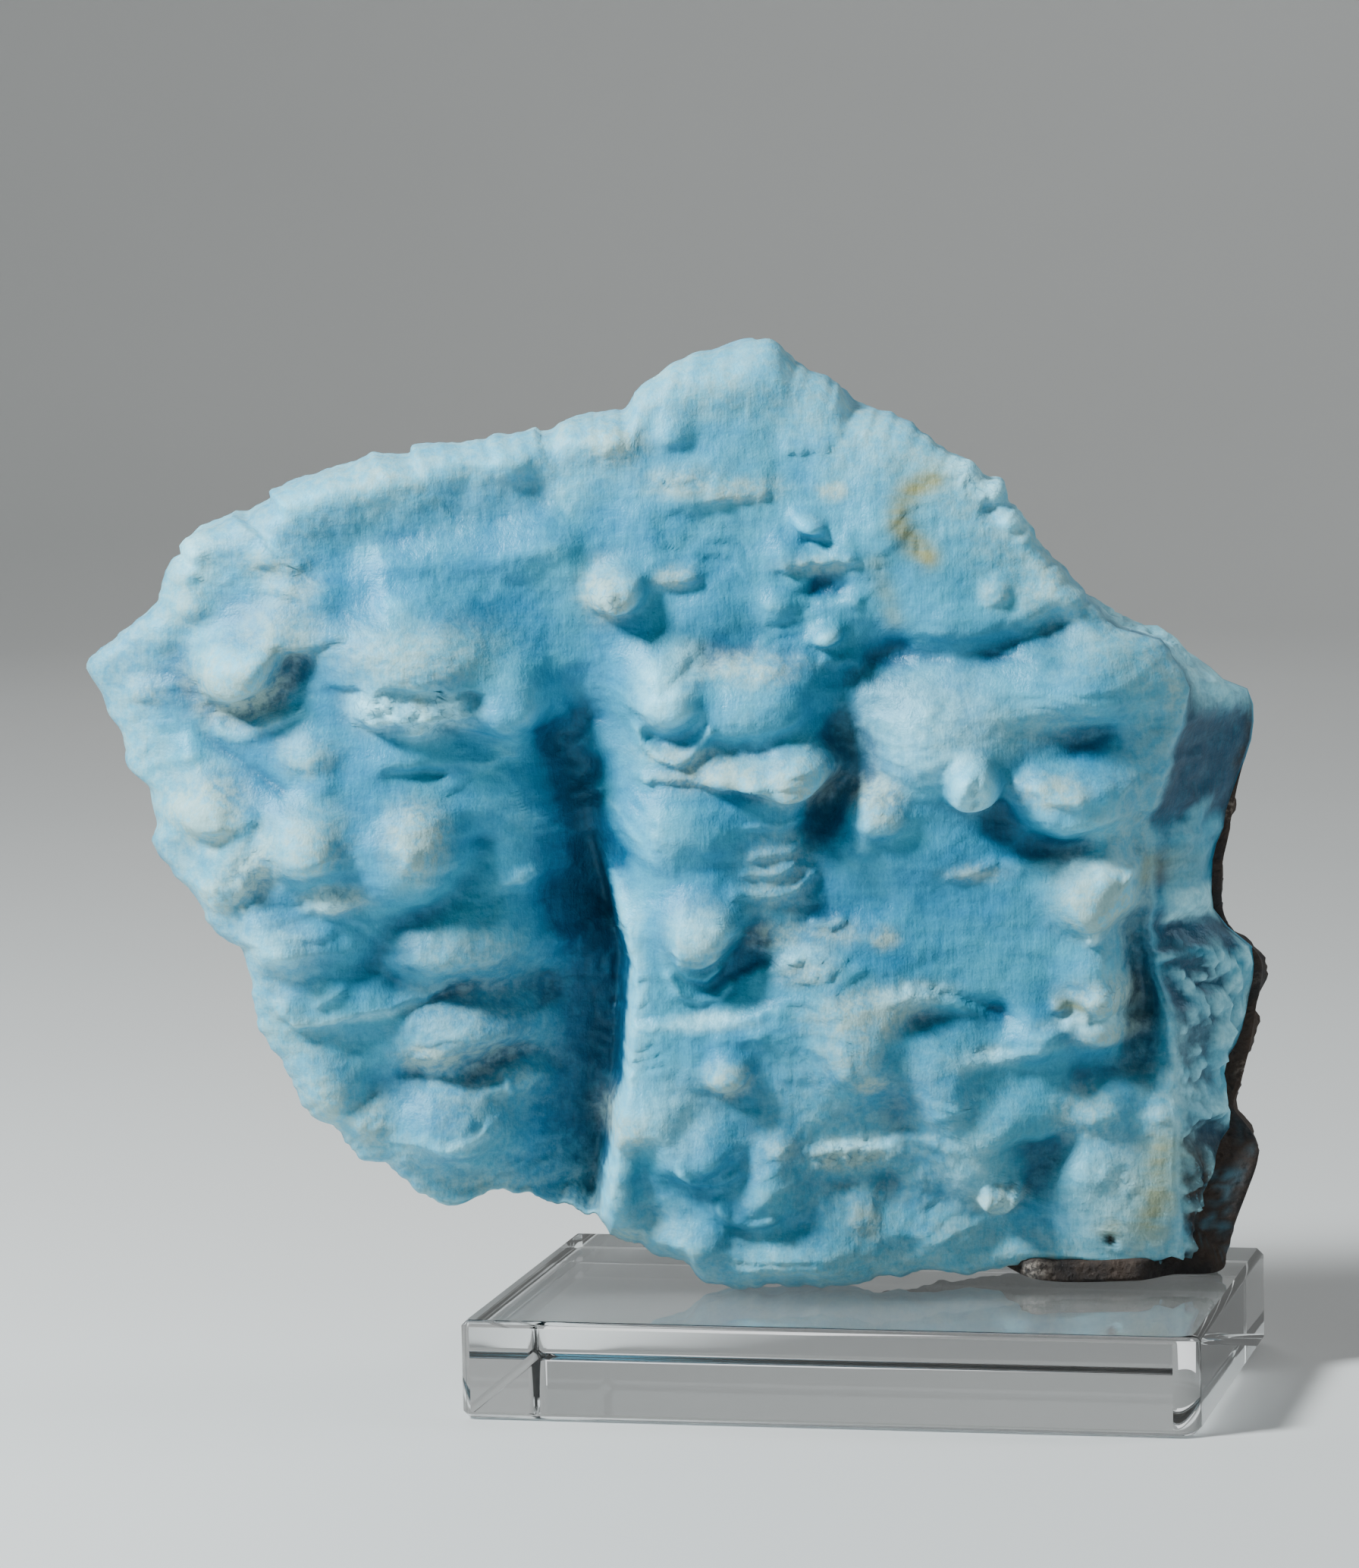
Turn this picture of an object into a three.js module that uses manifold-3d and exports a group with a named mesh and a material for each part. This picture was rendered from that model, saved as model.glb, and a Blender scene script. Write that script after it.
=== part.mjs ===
import * as THREE from 'three';
import { mergeVertices } from 'three/addons/utils/BufferGeometryUtils.js';
import Module from 'manifold-3d';

// Blue aragonite specimen on its rock backing, standing on a clear display block.
// Millimetres, +Z up. The origin is the centre of the block's underside; the front is -Y.
//
// The stone is a slab that stands turned on the block. Its own measures are across (to the
// right along the slab), up (height above the table) and out (towards the viewer).

// Display block
const BLOCK_LENGTH = 150;
const BLOCK_DEPTH = 100;
const BLOCK_HEIGHT = 20;
const BLOCK_CHAMFER = 1.3;
const BLOCK_SHARP_CORNER = 2;
const BLOCK_ROUND_CORNER = 5;
const BLOCK_CORNER_STEPS = 8;

// How the stone stands
const STONE_TURN_DEG = 12.57;
const TOUCHING_GAP = 0.3;
const REST_HEIGHT = BLOCK_HEIGHT + TOUCHING_GAP;

// Fineness of the stone's surfaces: the front is a square net of cells, the back is four times coarser
const FRONT_CELLS = 56;
const BACK_RATIO = 4;
const ROCK_CELLS = 16;

// Levels of the crust, measured outwards, and how much its lumps sag for how far they stand out
const FACE_LEVEL = 4;
const CRUST_BACK_LEVEL = -16;
const CRUST_BACK_TOP_LEVEL = -25;
const THIN_SKIN_LEVEL = 1;
const DROOP = 0.12;
const LEDGE_SOFTNESS = 2;
const LUMP_STEEPNESS = 1.5;
const LUMP_ABOVE = 1.15;
const LUMP_BELOW = 0.85;

// Bands over which the stone changes: [from, to]
const CROWN_UP = [150, 185];
const CROWN_ACROSS = [30, 0];
const BROKEN_SIDE_ACROSS = [30, 50];
const BARE_BACK_UP = [148, 172];
const THIN_SKIN_ACROSS = [20, 44];
const THIN_SKIN_UP = [62, 38];
const TOE_LEFT_ACROSS = [22, 34];
const TOE_RIGHT_ACROSS = [64, 54];
const TOE_UP = [34, 27];
const RELIEF_FROM_EDGE = [0, 6];
const SAG_FROM_EDGE = [2, 12];

// How far in from its edge the front face rounds over
const FACE_ROUNDING = 4;
const CROWN_ROUNDING = 4;
const BROKEN_SIDE_CRISPNESS = 2.5;

// How the broken walls between front and back swell, and how rough the broken faces are
const CRUST_WALL_BULGE = 1.5;
const CRUST_BACK_ROUGHNESS = 0.6;
const ROCK_WALL_BULGE = 1.6;
const ROCK_ROUGHNESS = 0.8;
const ROCK_FRONT_SHARE = 0.985;
const ROCK_BACK_SHARE = 0.95;
const ROCK_REACH_INTO_CRUST = 3;
const ROCK_TOE_LEVEL = 8;

// Waves that make broken stone uneven: [turn per mm across, turn per mm up, start, size]
const UNEVEN_WAVES = [
  [0.17, 0.09, 0, 1],
  [-0.07, 0.21, 0, 0.7],
  [0.33, 0, 2, 0.4],
];

// Broken faces of the rock's back: [level, across slope, up slope], of which the foremost counts
const ROCK_BACK_FACES = [
  [-32, 0, 0],
  [-40, -0.3, 0.04],
  [-66, 0.06, 0.32],
  [-47, 0.16, 0.05],
  [-27, 0.05, -0.2],
  [-46, -0.16, 0.14],
];

// The slab's middle, which the outlines are measured round
const SLAB_MIDDLE = [-38, 108];
const ROCK_MIDDLE = [10, 88];

// Edge of the crust's front face, clockwise from the left tip, as [across, up]
const FRONT_EDGE = [
  [-158, 151], [-150, 158], [-143.5, 163.5], [-141, 171], [-138, 175.5], [-133, 178.5], [-127, 180.5],
  [-120, 184], [-115, 187.5], [-105, 190.5], [-92, 193.5], [-84, 195], [-70, 197], [-65, 196.5],
  [-60, 198.5], [-47, 201], [-43, 206], [-35, 211], [-25, 213], [-18.5, 215], [-13, 210], [-5, 205],
  [-1, 200.5], [8, 198], [13, 195], [18, 191], [22, 190], [26, 186], [31, 182], [34, 178],
  [38, 170.5], [44, 163], [49.6, 156.7], [57.5, 153.5], [62, 150.5], [65, 146], [66.6, 142],
  [65, 137], [62.3, 129], [60.4, 122.7], [57.5, 115.4], [57.5, 110], [58.5, 104], [58.5, 92],
  [60, 80], [62.5, 74], [63, 50], [63.8, 27], [58, 24.7], [52, 23.8], [45, 24.8], [34, 24.5],
  [26, 23.3], [21, 22], [10, 23.2], [2, 22], [-5, 20.8], [-13, 20.3], [-22, 20.5], [-33, 21.2],
  [-36.5, 23.5], [-39.5, 26.5], [-47, 29.7], [-53, 31.3], [-56, 35], [-59.5, 37], [-66, 39.5],
  [-75, 41], [-80, 40], [-86, 38.5], [-93, 41.3], [-97.5, 46.5], [-105.5, 49.5], [-108, 53.7],
  [-115, 60], [-118, 66], [-121.5, 73], [-125, 79], [-126, 87], [-127, 93], [-134, 97.5],
  [-135.3, 101], [-141, 108], [-145, 115], [-144.5, 120], [-147, 127], [-150, 131], [-151.3, 137],
  [-156, 145],
];

// Edge of the crust's back face, which stands further out than the front along the broken right side
const CRUST_BACK_EDGE = [
  [-153, 150], [-141, 160], [-135, 173], [-117, 183], [-92, 189], [-65, 193], [-47, 197],
  [-35, 206], [-19, 210], [-8, 203], [5, 195], [17, 188], [29, 179], [35, 169], [42, 162],
  [49, 157.5], [55, 154.6], [61.3, 151.6], [71, 146], [75.5, 142], [80, 140.3], [81.3, 137],
  [81.2, 131.5], [80, 127], [77.8, 121], [76, 115], [75.4, 111.5], [73, 105.6], [72.3, 97],
  [73.6, 92.5], [78, 89], [80.8, 86], [81.1, 81], [79.8, 76], [78.8, 71], [77, 66], [73.8, 60.4],
  [74.9, 55], [75.6, 50.5], [73, 46.6], [70, 40], [67.5, 36], [66, 31], [64, 28],
  [52, 26.8], [34, 27.5], [21, 26], [2, 26.5],
  [-14, 25], [-30, 27], [-44, 33], [-58, 42], [-82, 45], [-95, 49], [-110, 61], [-119, 75],
  [-122, 92], [-136, 108], [-141, 120], [-148, 135], [-152, 145],
];

// Edge of the rock backing: it shows past the crust along the right side and under the lower right lip
const ROCK_EDGE = [
  [-66, 142], [-40, 152], [-8, 157], [24, 160], [42, 157.5], [52, 155], [60, 150.5], [70, 144],
  [76, 140], [80.5, 138], [81.7, 134.5], [81.3, 129.5], [79, 121], [77.2, 112], [76.4, 108],
  [75.5, 103], [75.4, 95], [77.4, 90], [81, 86.8], [83.4, 83.5], [83.4, 79], [82.4, 73.5],
  [80.7, 64], [79, 58], [77, 53], [80, 49], [81.5, 44.5], [78.8, 37.3], [76, 30], [74.4, 24.4],
  [72, 20.3], [56, 20.3],
  [40, 20.3], [30, 21.5], [18, 24], [0, 27], [-24, 30], [-46, 38], [-66, 52], [-74, 78],
  [-76, 104], [-73, 126],
];

// Broad swells of the front face: [across, up, half width, half height, turn, rise]
const SWELLS = [
  [-30, 108, 112, 84, 0, 8],
  [-112, 112, 27, 56, -22, 6],
  [-12, 205, 40, 26, 0, -4],
  [-62, 84, 17, 60, 0, -5],
  [-158, 148, 18, 20, 0, -6],
  [-20, 60, 34, 38, 0, 4],
  [24, 134, 34, 24, 8, 2.5],
  [46, 36, 17, 16, 0, 4],
  [20, 173, 24, 17, -35, 3],
  [57, 86, 7, 30, 0, -7],
  [-68, 30, 26, 12, 0, -4],
];

// Lumps: [across, up, half width, half height, turn, rise, softness], where a low softness is steep-sided
const LEFT_WING_LUMPS = [
  [-127, 150.5, 10, 9, 0, 7, 0.8],
  [-135, 125, 7.5, 8.5, 0, 5, 0.9],
  [-137, 134, 4, 3.5, 0, 2, 1],
  [-136, 163, 5, 4, 0, 2, 1],
  [-136, 173, 4, 4, 0, 2, 1],
  [-119, 172, 6, 4, 20, 2.2, 1],
  [-113, 166, 7, 5, 0, 2.2, 1],
  [-92, 153, 19, 10, 0, 7, 0.8],
  [-96, 145, 5.5, 5, 0, 4, 0.8],
  [-88, 145, 5.5, 4.5, 0, 3.4, 0.8],
  [-70.5, 144, 8, 8, 0, 6, 0.9],
  [-113, 115, 10, 9.5, 0, 6, 0.9],
  [-108, 104, 5.5, 3.5, 15, 3, 0.8],
  [-113, 133, 7, 5, 0, 3, 1],
  [-92, 111, 12, 12, 0, 4.5, 0.9],
  [-91, 118, 6, 6.5, 0, 2, 0.9],
  [-119, 94, 10, 7, 0, 3.5, 1],
  [-80, 94, 16, 7.5, 4, 7, 0.8],
  [-80, 75, 15, 6.5, 4, 6, 0.8],
  [-89, 69.5, 6.5, 3, 0, 3, 0.8],
  [-71, 64.5, 7, 4.5, 0, 3.2, 1],
  [-85, 53.5, 14, 11, 0, 7, 0.85],
  [-102, 57, 5.5, 6, 0, 2.5, 1],
  [-111, 64, 8, 12, 25, 3, 1],
  [-70, 44.5, 9, 3.5, 0, 2.4, 1],
];
const CROWN_LUMPS = [
  [-50, 166, 7.5, 7.5, 0, 8, 0.7],
  [-50, 195, 8, 6, 0, 2, 1],
  [-38, 196, 5, 4.5, 0, 2.2, 1],
  [-22, 205, 12, 7, 0, 1.6, 1],
  [-11, 178, 4.5, 2.8, -20, 3, 0.9],
  [-7, 155.5, 4.5, 3, 10, 3.2, 0.9],
  [-17, 161.5, 5, 5, 0, 2.4, 1],
  [31, 178, 4, 3.5, 0, 2.6, 0.9],
  [27, 163.5, 4, 3.5, 0, 2, 1],
];
const MIDDLE_LUMPS = [
  [-41, 145, 7.5, 9.5, 0, 8, 0.7],
  [-17, 142, 14, 9.5, 0, 5, 0.9],
  [-26, 128.5, 6.5, 4.5, 0, 3.6, 0.9],
  [-14, 127.5, 9.5, 7, 0, 7, 0.7],
  [-37, 117, 14, 11, 0, 5, 0.9],
  [-34, 100, 9, 9, 0, 5, 0.9],
  [-28.8, 67.5, 5.5, 5, 0, 5, 0.7],
  [-46, 58, 9, 8, 0, 3.2, 1],
  [-36, 50, 9, 6, 0, 4.4, 0.8],
  [-25, 40.5, 8.5, 6, 0, 4, 0.8],
  [-52, 41, 5.5, 10, 0, 2.4, 1],
  [-34, 30.5, 7.5, 6.5, 0, 4.6, 0.9],
  [-20, 45, 8, 7, 0, 3, 1],
  [-1, 71, 12, 13, 0, 5, 0.9],
  [14, 62, 9, 11, 0, 3.6, 1],
  [21, 50, 11, 13, 0, 6, 0.9],
  [26.6, 41, 7, 6.4, 0, 4.5, 0.8],
  [-14, 27, 15, 8, 0, 3.2, 1],
  [16, 32, 9, 6, 0, 2.4, 1],
];
const RIGHT_LUMPS = [
  [14, 133, 14, 13, 0, 4, 0.9],
  [3, 120, 6.5, 6, 0, 4.6, 0.8],
  [22, 125, 6.2, 8, 0, 8, 0.7],
  [45, 144, 20, 9.5, 10, 5, 0.9],
  [41, 119, 13, 8.5, 0, 5.5, 0.9],
  [47, 101.5, 11, 9.5, 0, 5.5, 0.8],
  [47, 85, 9, 7, 0, 3, 1],
  [49.5, 79.5, 7.5, 5, 0, 4.6, 0.8],
  [33, 73, 8, 7, 0, 3, 1],
  [47, 57, 9, 7, 0, 2.4, 1],
  [31, 56, 10, 5.5, 5, 4.4, 0.9],
];
const LUMPS = [...LEFT_WING_LUMPS, ...CROWN_LUMPS, ...MIDDLE_LUMPS, ...RIGHT_LUMPS];

// Rounded furrows and ribs along a line: { line, width, rise }, where a negative rise is a furrow
const FURROWS = [
  { line: [[-60, 148], [-57, 139], [-62, 130], [-60, 118]], width: 7, rise: -8 },
  { line: [[3, 153], [-2, 147], [-5, 139], [-3, 131], [-5, 122], [-10, 110]], width: 5, rise: -8 },
  { line: [[-6, 122], [-8, 114]], width: 5, rise: -5 },
  { line: [[3, 153], [14, 152], [26, 152.5], [40, 156]], width: 4, rise: -5 },
  { line: [[-135, 147], [-128, 142.5], [-120, 145], [-116, 151]], width: 3.5, rise: -4.5 },
  { line: [[-106, 175], [-86, 179], [-67, 185]], width: 7, rise: -4 },
  { line: [[-100, 88], [-88, 86.5], [-78, 84], [-66, 84]], width: 5, rise: -6.5 },
  { line: [[-80, 113], [-84, 106], [-91, 101], [-98, 96], [-103, 88]], width: 5, rise: -4.5 },
  { line: [[-93, 67.5], [-84, 66], [-72, 70], [-64, 69]], width: 3, rise: -4.5 },
  { line: [[-101, 64], [-92, 62], [-78, 61]], width: 4.5, rise: -3 },
  { line: [[-31, 84], [-26, 88], [-24, 94], [-14, 98.5], [2, 102.5]], width: 5, rise: -6 },
  { line: [[6, 75], [6.5, 66], [5.5, 58]], width: 3.5, rise: -4.5 },
  { line: [[11, 77], [19, 76], [26, 76.5]], width: 3.2, rise: -3.5 },
  { line: [[27, 117], [35, 111.5], [43, 110.5]], width: 4.5, rise: -6 },
  { line: [[54, 94], [57, 86], [57.5, 76], [55, 67], [45, 63.5]], width: 4.5, rise: -6 },
  { line: [[31, 52], [36, 51], [37, 44], [33, 36], [27, 31]], width: 6.5, rise: -5.5 },
  { line: [[-6, 44], [2, 42]], width: 5, rise: -3.5 },
  { line: [[-27, 54], [-25.5, 47], [-27, 33], [-34, 25.5]], width: 3.2, rise: -3.5 },
  { line: [[-32, 61], [-23, 60.5]], width: 4, rise: -4 },
  { line: [[-119, 184], [-104, 187.5], [-86, 190.5], [-70, 193]], width: 6, rise: 3 },
  { line: [[-96, 171], [-78, 172], [-60, 172]], width: 4.5, rise: 2.8 },
  { line: [[18, 158], [31, 158.5], [44, 162]], width: 4, rise: 3 },
  { line: [[-48, 169], [-36, 169.5]], width: 3.5, rise: 2.4 },
];

// Right-hand wall of the deep cleft, from the top down
const CLEFT_WALL = [
  [-52.5, 126], [-53, 116], [-51, 102], [-48.8, 90], [-50, 78], [-51.2, 66], [-53.8, 52], [-56, 34],
];

// Ledges that end sharply along a line read left to right: { line, rise, run, side }, where side 1
// stands proud below the line and side -1 stands proud above it
const LEDGES = [
  { line: CLEFT_WALL, rise: 5, run: 20, side: -1 },
  { line: CLEFT_WALL, rise: -14, run: 22, side: 1 },
  { line: [[-104, 150], [-92, 151], [-79, 148.5]], rise: 2.5, run: 6, side: -1 },
  { line: [[-119, 79], [-112, 77.5], [-98, 80], [-88, 83]], rise: 3, run: 7, side: -1 },
  { line: [[-88, 53.5], [-80, 54.5]], rise: 2, run: 6, side: 1 },
  { line: [[-29, 183.5], [-17, 184]], rise: 2.6, run: 6, side: -1 },
  { line: [[-15, 169], [-3, 170.5]], rise: 3, run: 5, side: -1 },
  { line: [[-38, 148.5], [-28, 150.5], [-18, 151]], rise: 3.4, run: 9, side: 1 },
  { line: [[-44, 128], [-31, 129.5], [-23, 130]], rise: 3.6, run: 5, side: -1 },
  { line: [[-44, 79], [-34, 78], [-23, 81]], rise: 3.4, run: 8, side: 1 },
  { line: [[-20, 89], [-14, 91.5], [-5, 89.5]], rise: 3.4, run: 8, side: 1 },
  { line: [[-10, 83.5], [4, 83], [20, 79.5]], rise: 4.4, run: 10, side: 1 },
  { line: [[15, 72], [30, 70]], rise: 2.4, run: 6, side: 1 },
  { line: [[-9, 52], [3, 52.3], [13, 54.5]], rise: 3.8, run: 7, side: 1 },
  { line: [[32, 109], [44, 108], [53, 107]], rise: 2.4, run: 7, side: 1 },
  { line: [[36, 75.5], [45, 76], [56, 74.5]], rise: 3.6, run: 6, side: 1 },
  { line: [[30, 124], [43, 123]], rise: 2.6, run: 4, side: -1 },
];

const SWEEP_STEPS = 1440;
const HALF_TURN = Math.PI;

const { lerp, clamp, degToRad } = THREE.MathUtils;

// 0 before the band, 1 past it, smooth within it; the band may run downwards
function through([from, to], value) {
  const share = clamp((value - from) / (to - from), 0, 1);
  return share * share * (3 - 2 * share);
}

// Radius of a closed edge round a middle, as a function of direction
function edgeRadius(points, middle) {
  const corners = points.map(([across, up]) => new THREE.Vector3(across, up, 0));
  const curve = new THREE.CatmullRomCurve3(corners, true, 'centripetal');
  const samples = curve.getPoints(SWEEP_STEPS).map((point) => {
    const across = point.x - middle[0];
    const up = point.y - middle[1];
    return [Math.atan2(up, across), Math.hypot(across, up)];
  });
  samples.sort((a, b) => a[0] - b[0]);
  return (angle) => {
    let low = 0;
    let high = samples.length - 1;
    if (angle <= samples[low][0] || angle >= samples[high][0]) {
      return (samples[low][1] + samples[high][1]) / 2;
    }
    while (high - low > 1) {
      const mid = (low + high) >> 1;
      if (samples[mid][0] < angle) {
        low = mid;
      } else {
        high = mid;
      }
    }
    const span = samples[high][0] - samples[low][0] || 1;
    return lerp(samples[low][1], samples[high][1], (angle - samples[low][0]) / span);
  };
}

// Distance to a line of points: how far, on which side (positive below), and how far past its ends
function nearLine(line, across, up) {
  let best = { distance: Infinity, side: 0, past: 0 };
  for (let k = 0; k + 1 < line.length; k += 1) {
    const [x0, y0] = line[k];
    const [x1, y1] = line[k + 1];
    const length = Math.hypot(x1 - x0, y1 - y0);
    const dx = (x1 - x0) / length;
    const dy = (y1 - y0) / length;
    const along = (across - x0) * dx + (up - y0) * dy;
    const held = clamp(along, 0, length);
    const distance = Math.hypot(across - x0 - held * dx, up - y0 - held * dy);
    if (distance < best.distance) {
      const side = (across - x0) * dy - (up - y0) * dx;
      const isEnd = (k === 0 && along < 0) || (k + 2 === line.length && along > length);
      best = { distance, side, past: isEnd ? Math.abs(along - held) : 0 };
    }
  }
  return best;
}

function ovalDistance(across, up, [middleAcross, middleUp, halfWidth, halfHeight, turn]) {
  const angle = degToRad(turn);
  const dx = across - middleAcross;
  const dy = up - middleUp;
  const along = (dx * Math.cos(angle) + dy * Math.sin(angle)) / halfWidth;
  const beside = (-dx * Math.sin(angle) + dy * Math.cos(angle)) / halfHeight;
  return along * along + beside * beside;
}

function broadLevel(across, up) {
  let level = FACE_LEVEL;
  for (const swell of SWELLS) {
    level += swell[5] * Math.exp(-ovalDistance(across, up, swell));
  }
  return level;
}

// Rise of one lump, which hangs: it falls away faster below its middle than above
function lumpRise(across, up, lump) {
  const [, middleUp, , , , rise, softness] = lump;
  const stretch = up > middleUp ? LUMP_ABOVE : LUMP_BELOW;
  const away = ovalDistance(across, middleUp + (up - middleUp) / stretch, lump);
  return rise * Math.exp(-LUMP_STEEPNESS * away ** (1.2 / softness));
}

// Everything that stands out of the broad face or is sunk in it
function fineRelief(across, up) {
  let relief = 0;
  for (const lump of LUMPS) {
    relief += lumpRise(across, up, lump);
  }
  for (const { line, width, rise } of FURROWS) {
    const { distance } = nearLine(line, across, up);
    relief += rise * Math.exp(-((distance / width) ** 2));
  }
  for (const { line, rise, run, side } of LEDGES) {
    const near = nearLine(line, across, up);
    const proud = near.side * side;
    const fade = Math.exp(-((2 * near.past / run) ** 2));
    const step = through([-LEDGE_SOFTNESS, LEDGE_SOFTNESS], proud);
    relief += rise * fade * step * Math.exp(-Math.max(proud, 0) / run);
  }
  return relief;
}

// How far the front face rounds over before its edge: broad on the crown, crisp at the broken right side
function edgeRounding(across, up) {
  const crown = through(CROWN_UP, up) * through(CROWN_ACROSS, across);
  const brokenSide = through(BROKEN_SIDE_ACROSS, across);
  return FACE_ROUNDING + CROWN_ROUNDING * crown - BROKEN_SIDE_CRISPNESS * brokenSide;
}

// Depth of the face between the crust and the rock that it grew on
function crustBackLevel(across, up) {
  const bare = through(BARE_BACK_UP, up);
  const thinSkin = through(THIN_SKIN_ACROSS, across) * through(THIN_SKIN_UP, up);
  const level = lerp(CRUST_BACK_LEVEL, CRUST_BACK_TOP_LEVEL, bare);
  return lerp(level, THIN_SKIN_LEVEL, thinSkin);
}

// Uneven swell of broken stone, from about -2 to 2
function unevenness(across, up) {
  const swell = UNEVEN_WAVES.map(([perAcross, perUp, start, size]) => (
    size * Math.sin(perAcross * across + perUp * up + start)
  ));
  return swell.reduce((sum, wave) => sum + wave, 0);
}

// The same swell for the wall round a slab, in a direction and at a depth from 0 to 1
function wallUnevenness(angle, depth) {
  return unevenness(60 * angle, 40 * depth);
}

// A point of the square net, placed as far from the middle as the edge is in that direction
function onEdgeNet(x, y, middle, radiusAt) {
  const reach = Math.max(Math.abs(x), Math.abs(y));
  const angle = Math.atan2(y, x);
  const distance = reach * radiusAt(angle);
  return [middle[0] + distance * Math.cos(angle), middle[1] + distance * Math.sin(angle), distance];
}

// One closed body: a square net in front, one of fewer cells at the back, and a wall between them whose
// rows halve in number. Each place function gives [across, up, out].
function closedSlab(cells, ratio, frontPlace, wallPlace, backPlace) {
  const positions = [];
  const triangles = [];
  const addPoint = ([across, up, out]) => {
    positions.push(across, -out, up);
    return positions.length / 3 - 1;
  };
  const makeNet = (count, place) => {
    const net = [];
    for (let j = 0; j <= count; j += 1) {
      for (let i = 0; i <= count; i += 1) {
        net.push(addPoint(place(2 * i / count - 1, 2 * j / count - 1)));
      }
    }
    return net;
  };
  const fillNet = (net, count, outward) => {
    for (let j = 0; j < count; j += 1) {
      for (let i = 0; i < count; i += 1) {
        const a = net[j * (count + 1) + i];
        const b = net[j * (count + 1) + i + 1];
        const c = net[(j + 1) * (count + 1) + i + 1];
        const d = net[(j + 1) * (count + 1) + i];
        const halves = (i < count / 2) === (j < count / 2) ? [[a, b, c], [a, c, d]] : [[a, b, d], [b, c, d]];
        for (const half of halves) {
          triangles.push(...(outward ? half : half.reverse()));
        }
      }
    }
  };
  const rimOf = (net, count) => {
    const at = (i, j) => net[j * (count + 1) + i];
    const steps = [...Array(count).keys()];
    return [
      ...steps.map((k) => at(k, 0)),
      ...steps.map((k) => at(count, k)),
      ...steps.map((k) => at(count - k, count)),
      ...steps.map((k) => at(0, count - k)),
    ];
  };
  const wallRing = (count, depth) => {
    const perSide = count / 4;
    return [...Array(count).keys()].map((k) => {
      const side = Math.floor(k / perSide);
      const step = 2 * (k % perSide) / perSide - 1;
      const [x, y] = [[step, -1], [1, step], [-step, 1], [-1, -step]][side];
      return addPoint(wallPlace(x, y, depth));
    });
  };
  const joinRings = (fine, coarse) => {
    const share = fine.length / coarse.length;
    for (let k = 0; k < coarse.length; k += 1) {
      const b0 = coarse[k];
      const b1 = coarse[(k + 1) % coarse.length];
      const f = [...Array(share + 1).keys()].map((step) => fine[(k * share + step) % fine.length]);
      if (share === 1) {
        triangles.push(f[0], b0, b1, f[0], b1, f[1]);
      } else {
        triangles.push(f[0], b0, f[1], f[1], b0, b1, f[1], b1, f[2]);
      }
    }
  };

  const frontNet = makeNet(cells, frontPlace);
  const backCells = cells / ratio;
  const backNet = makeNet(backCells, backPlace);
  fillNet(frontNet, cells, true);
  fillNet(backNet, backCells, false);
  const rings = [rimOf(frontNet, cells)];
  const counts = [4 * cells];
  while (counts.at(-1) > 8 * backCells) {
    counts.push(counts.at(-1) / 2);
  }
  counts.push(counts.at(-1));
  counts.slice(1).forEach((count, k) => rings.push(wallRing(count, (k + 1) / counts.length)));
  rings.push(rimOf(backNet, backCells));
  for (let k = 0; k + 1 < rings.length; k += 1) {
    joinRings(rings[k], rings[k + 1]);
  }

  const geometry = new THREE.BufferGeometry();
  geometry.setAttribute('position', new THREE.Float32BufferAttribute(positions, 3));
  geometry.setIndex(triangles);
  return geometry;
}

function makeCrust() {
  const frontRadius = edgeRadius(FRONT_EDGE, SLAB_MIDDLE);
  const backRadius = edgeRadius(CRUST_BACK_EDGE, SLAB_MIDDLE);
  const frontPlace = (x, y) => {
    const [across, up, distance] = onEdgeNet(x, y, SLAB_MIDDLE, frontRadius);
    const reach = Math.max(Math.abs(x), Math.abs(y));
    const toEdge = reach > 0 ? distance / reach - distance : frontRadius(0);
    const rounding = edgeRounding(across, up);
    const bent = 1 - Math.min(toEdge / rounding, 1);
    const relief = fineRelief(across, up) * through(RELIEF_FROM_EDGE, toEdge);
    const out = broadLevel(across, up) + relief - rounding * (1 - Math.sqrt(1 - 0.9 * bent * bent));
    const sag = DROOP * Math.max(relief, 0) * through(SAG_FROM_EDGE, toEdge);
    return [across, Math.max(up - sag, REST_HEIGHT), out];
  };
  const backPlace = (x, y) => {
    const [across, up] = onEdgeNet(x, y, SLAB_MIDDLE, backRadius);
    return [across, up, crustBackLevel(across, up) + CRUST_BACK_ROUGHNESS * unevenness(across, up)];
  };
  const wallPlace = (x, y, depth) => {
    const front = frontPlace(x, y);
    const back = backPlace(x, y);
    const angle = Math.atan2(y, x);
    const swell = CRUST_WALL_BULGE * Math.sin(HALF_TURN * depth);
    const bulge = swell + CRUST_BACK_ROUGHNESS * depth * wallUnevenness(angle, depth);
    const across = lerp(front[0], back[0], depth) + bulge * Math.cos(angle);
    const up = lerp(front[1], back[1], depth) + bulge * Math.sin(angle);
    return [across, Math.max(up, REST_HEIGHT), lerp(front[2], back[2], depth)];
  };
  return closedSlab(FRONT_CELLS, BACK_RATIO, frontPlace, wallPlace, backPlace);
}

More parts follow.
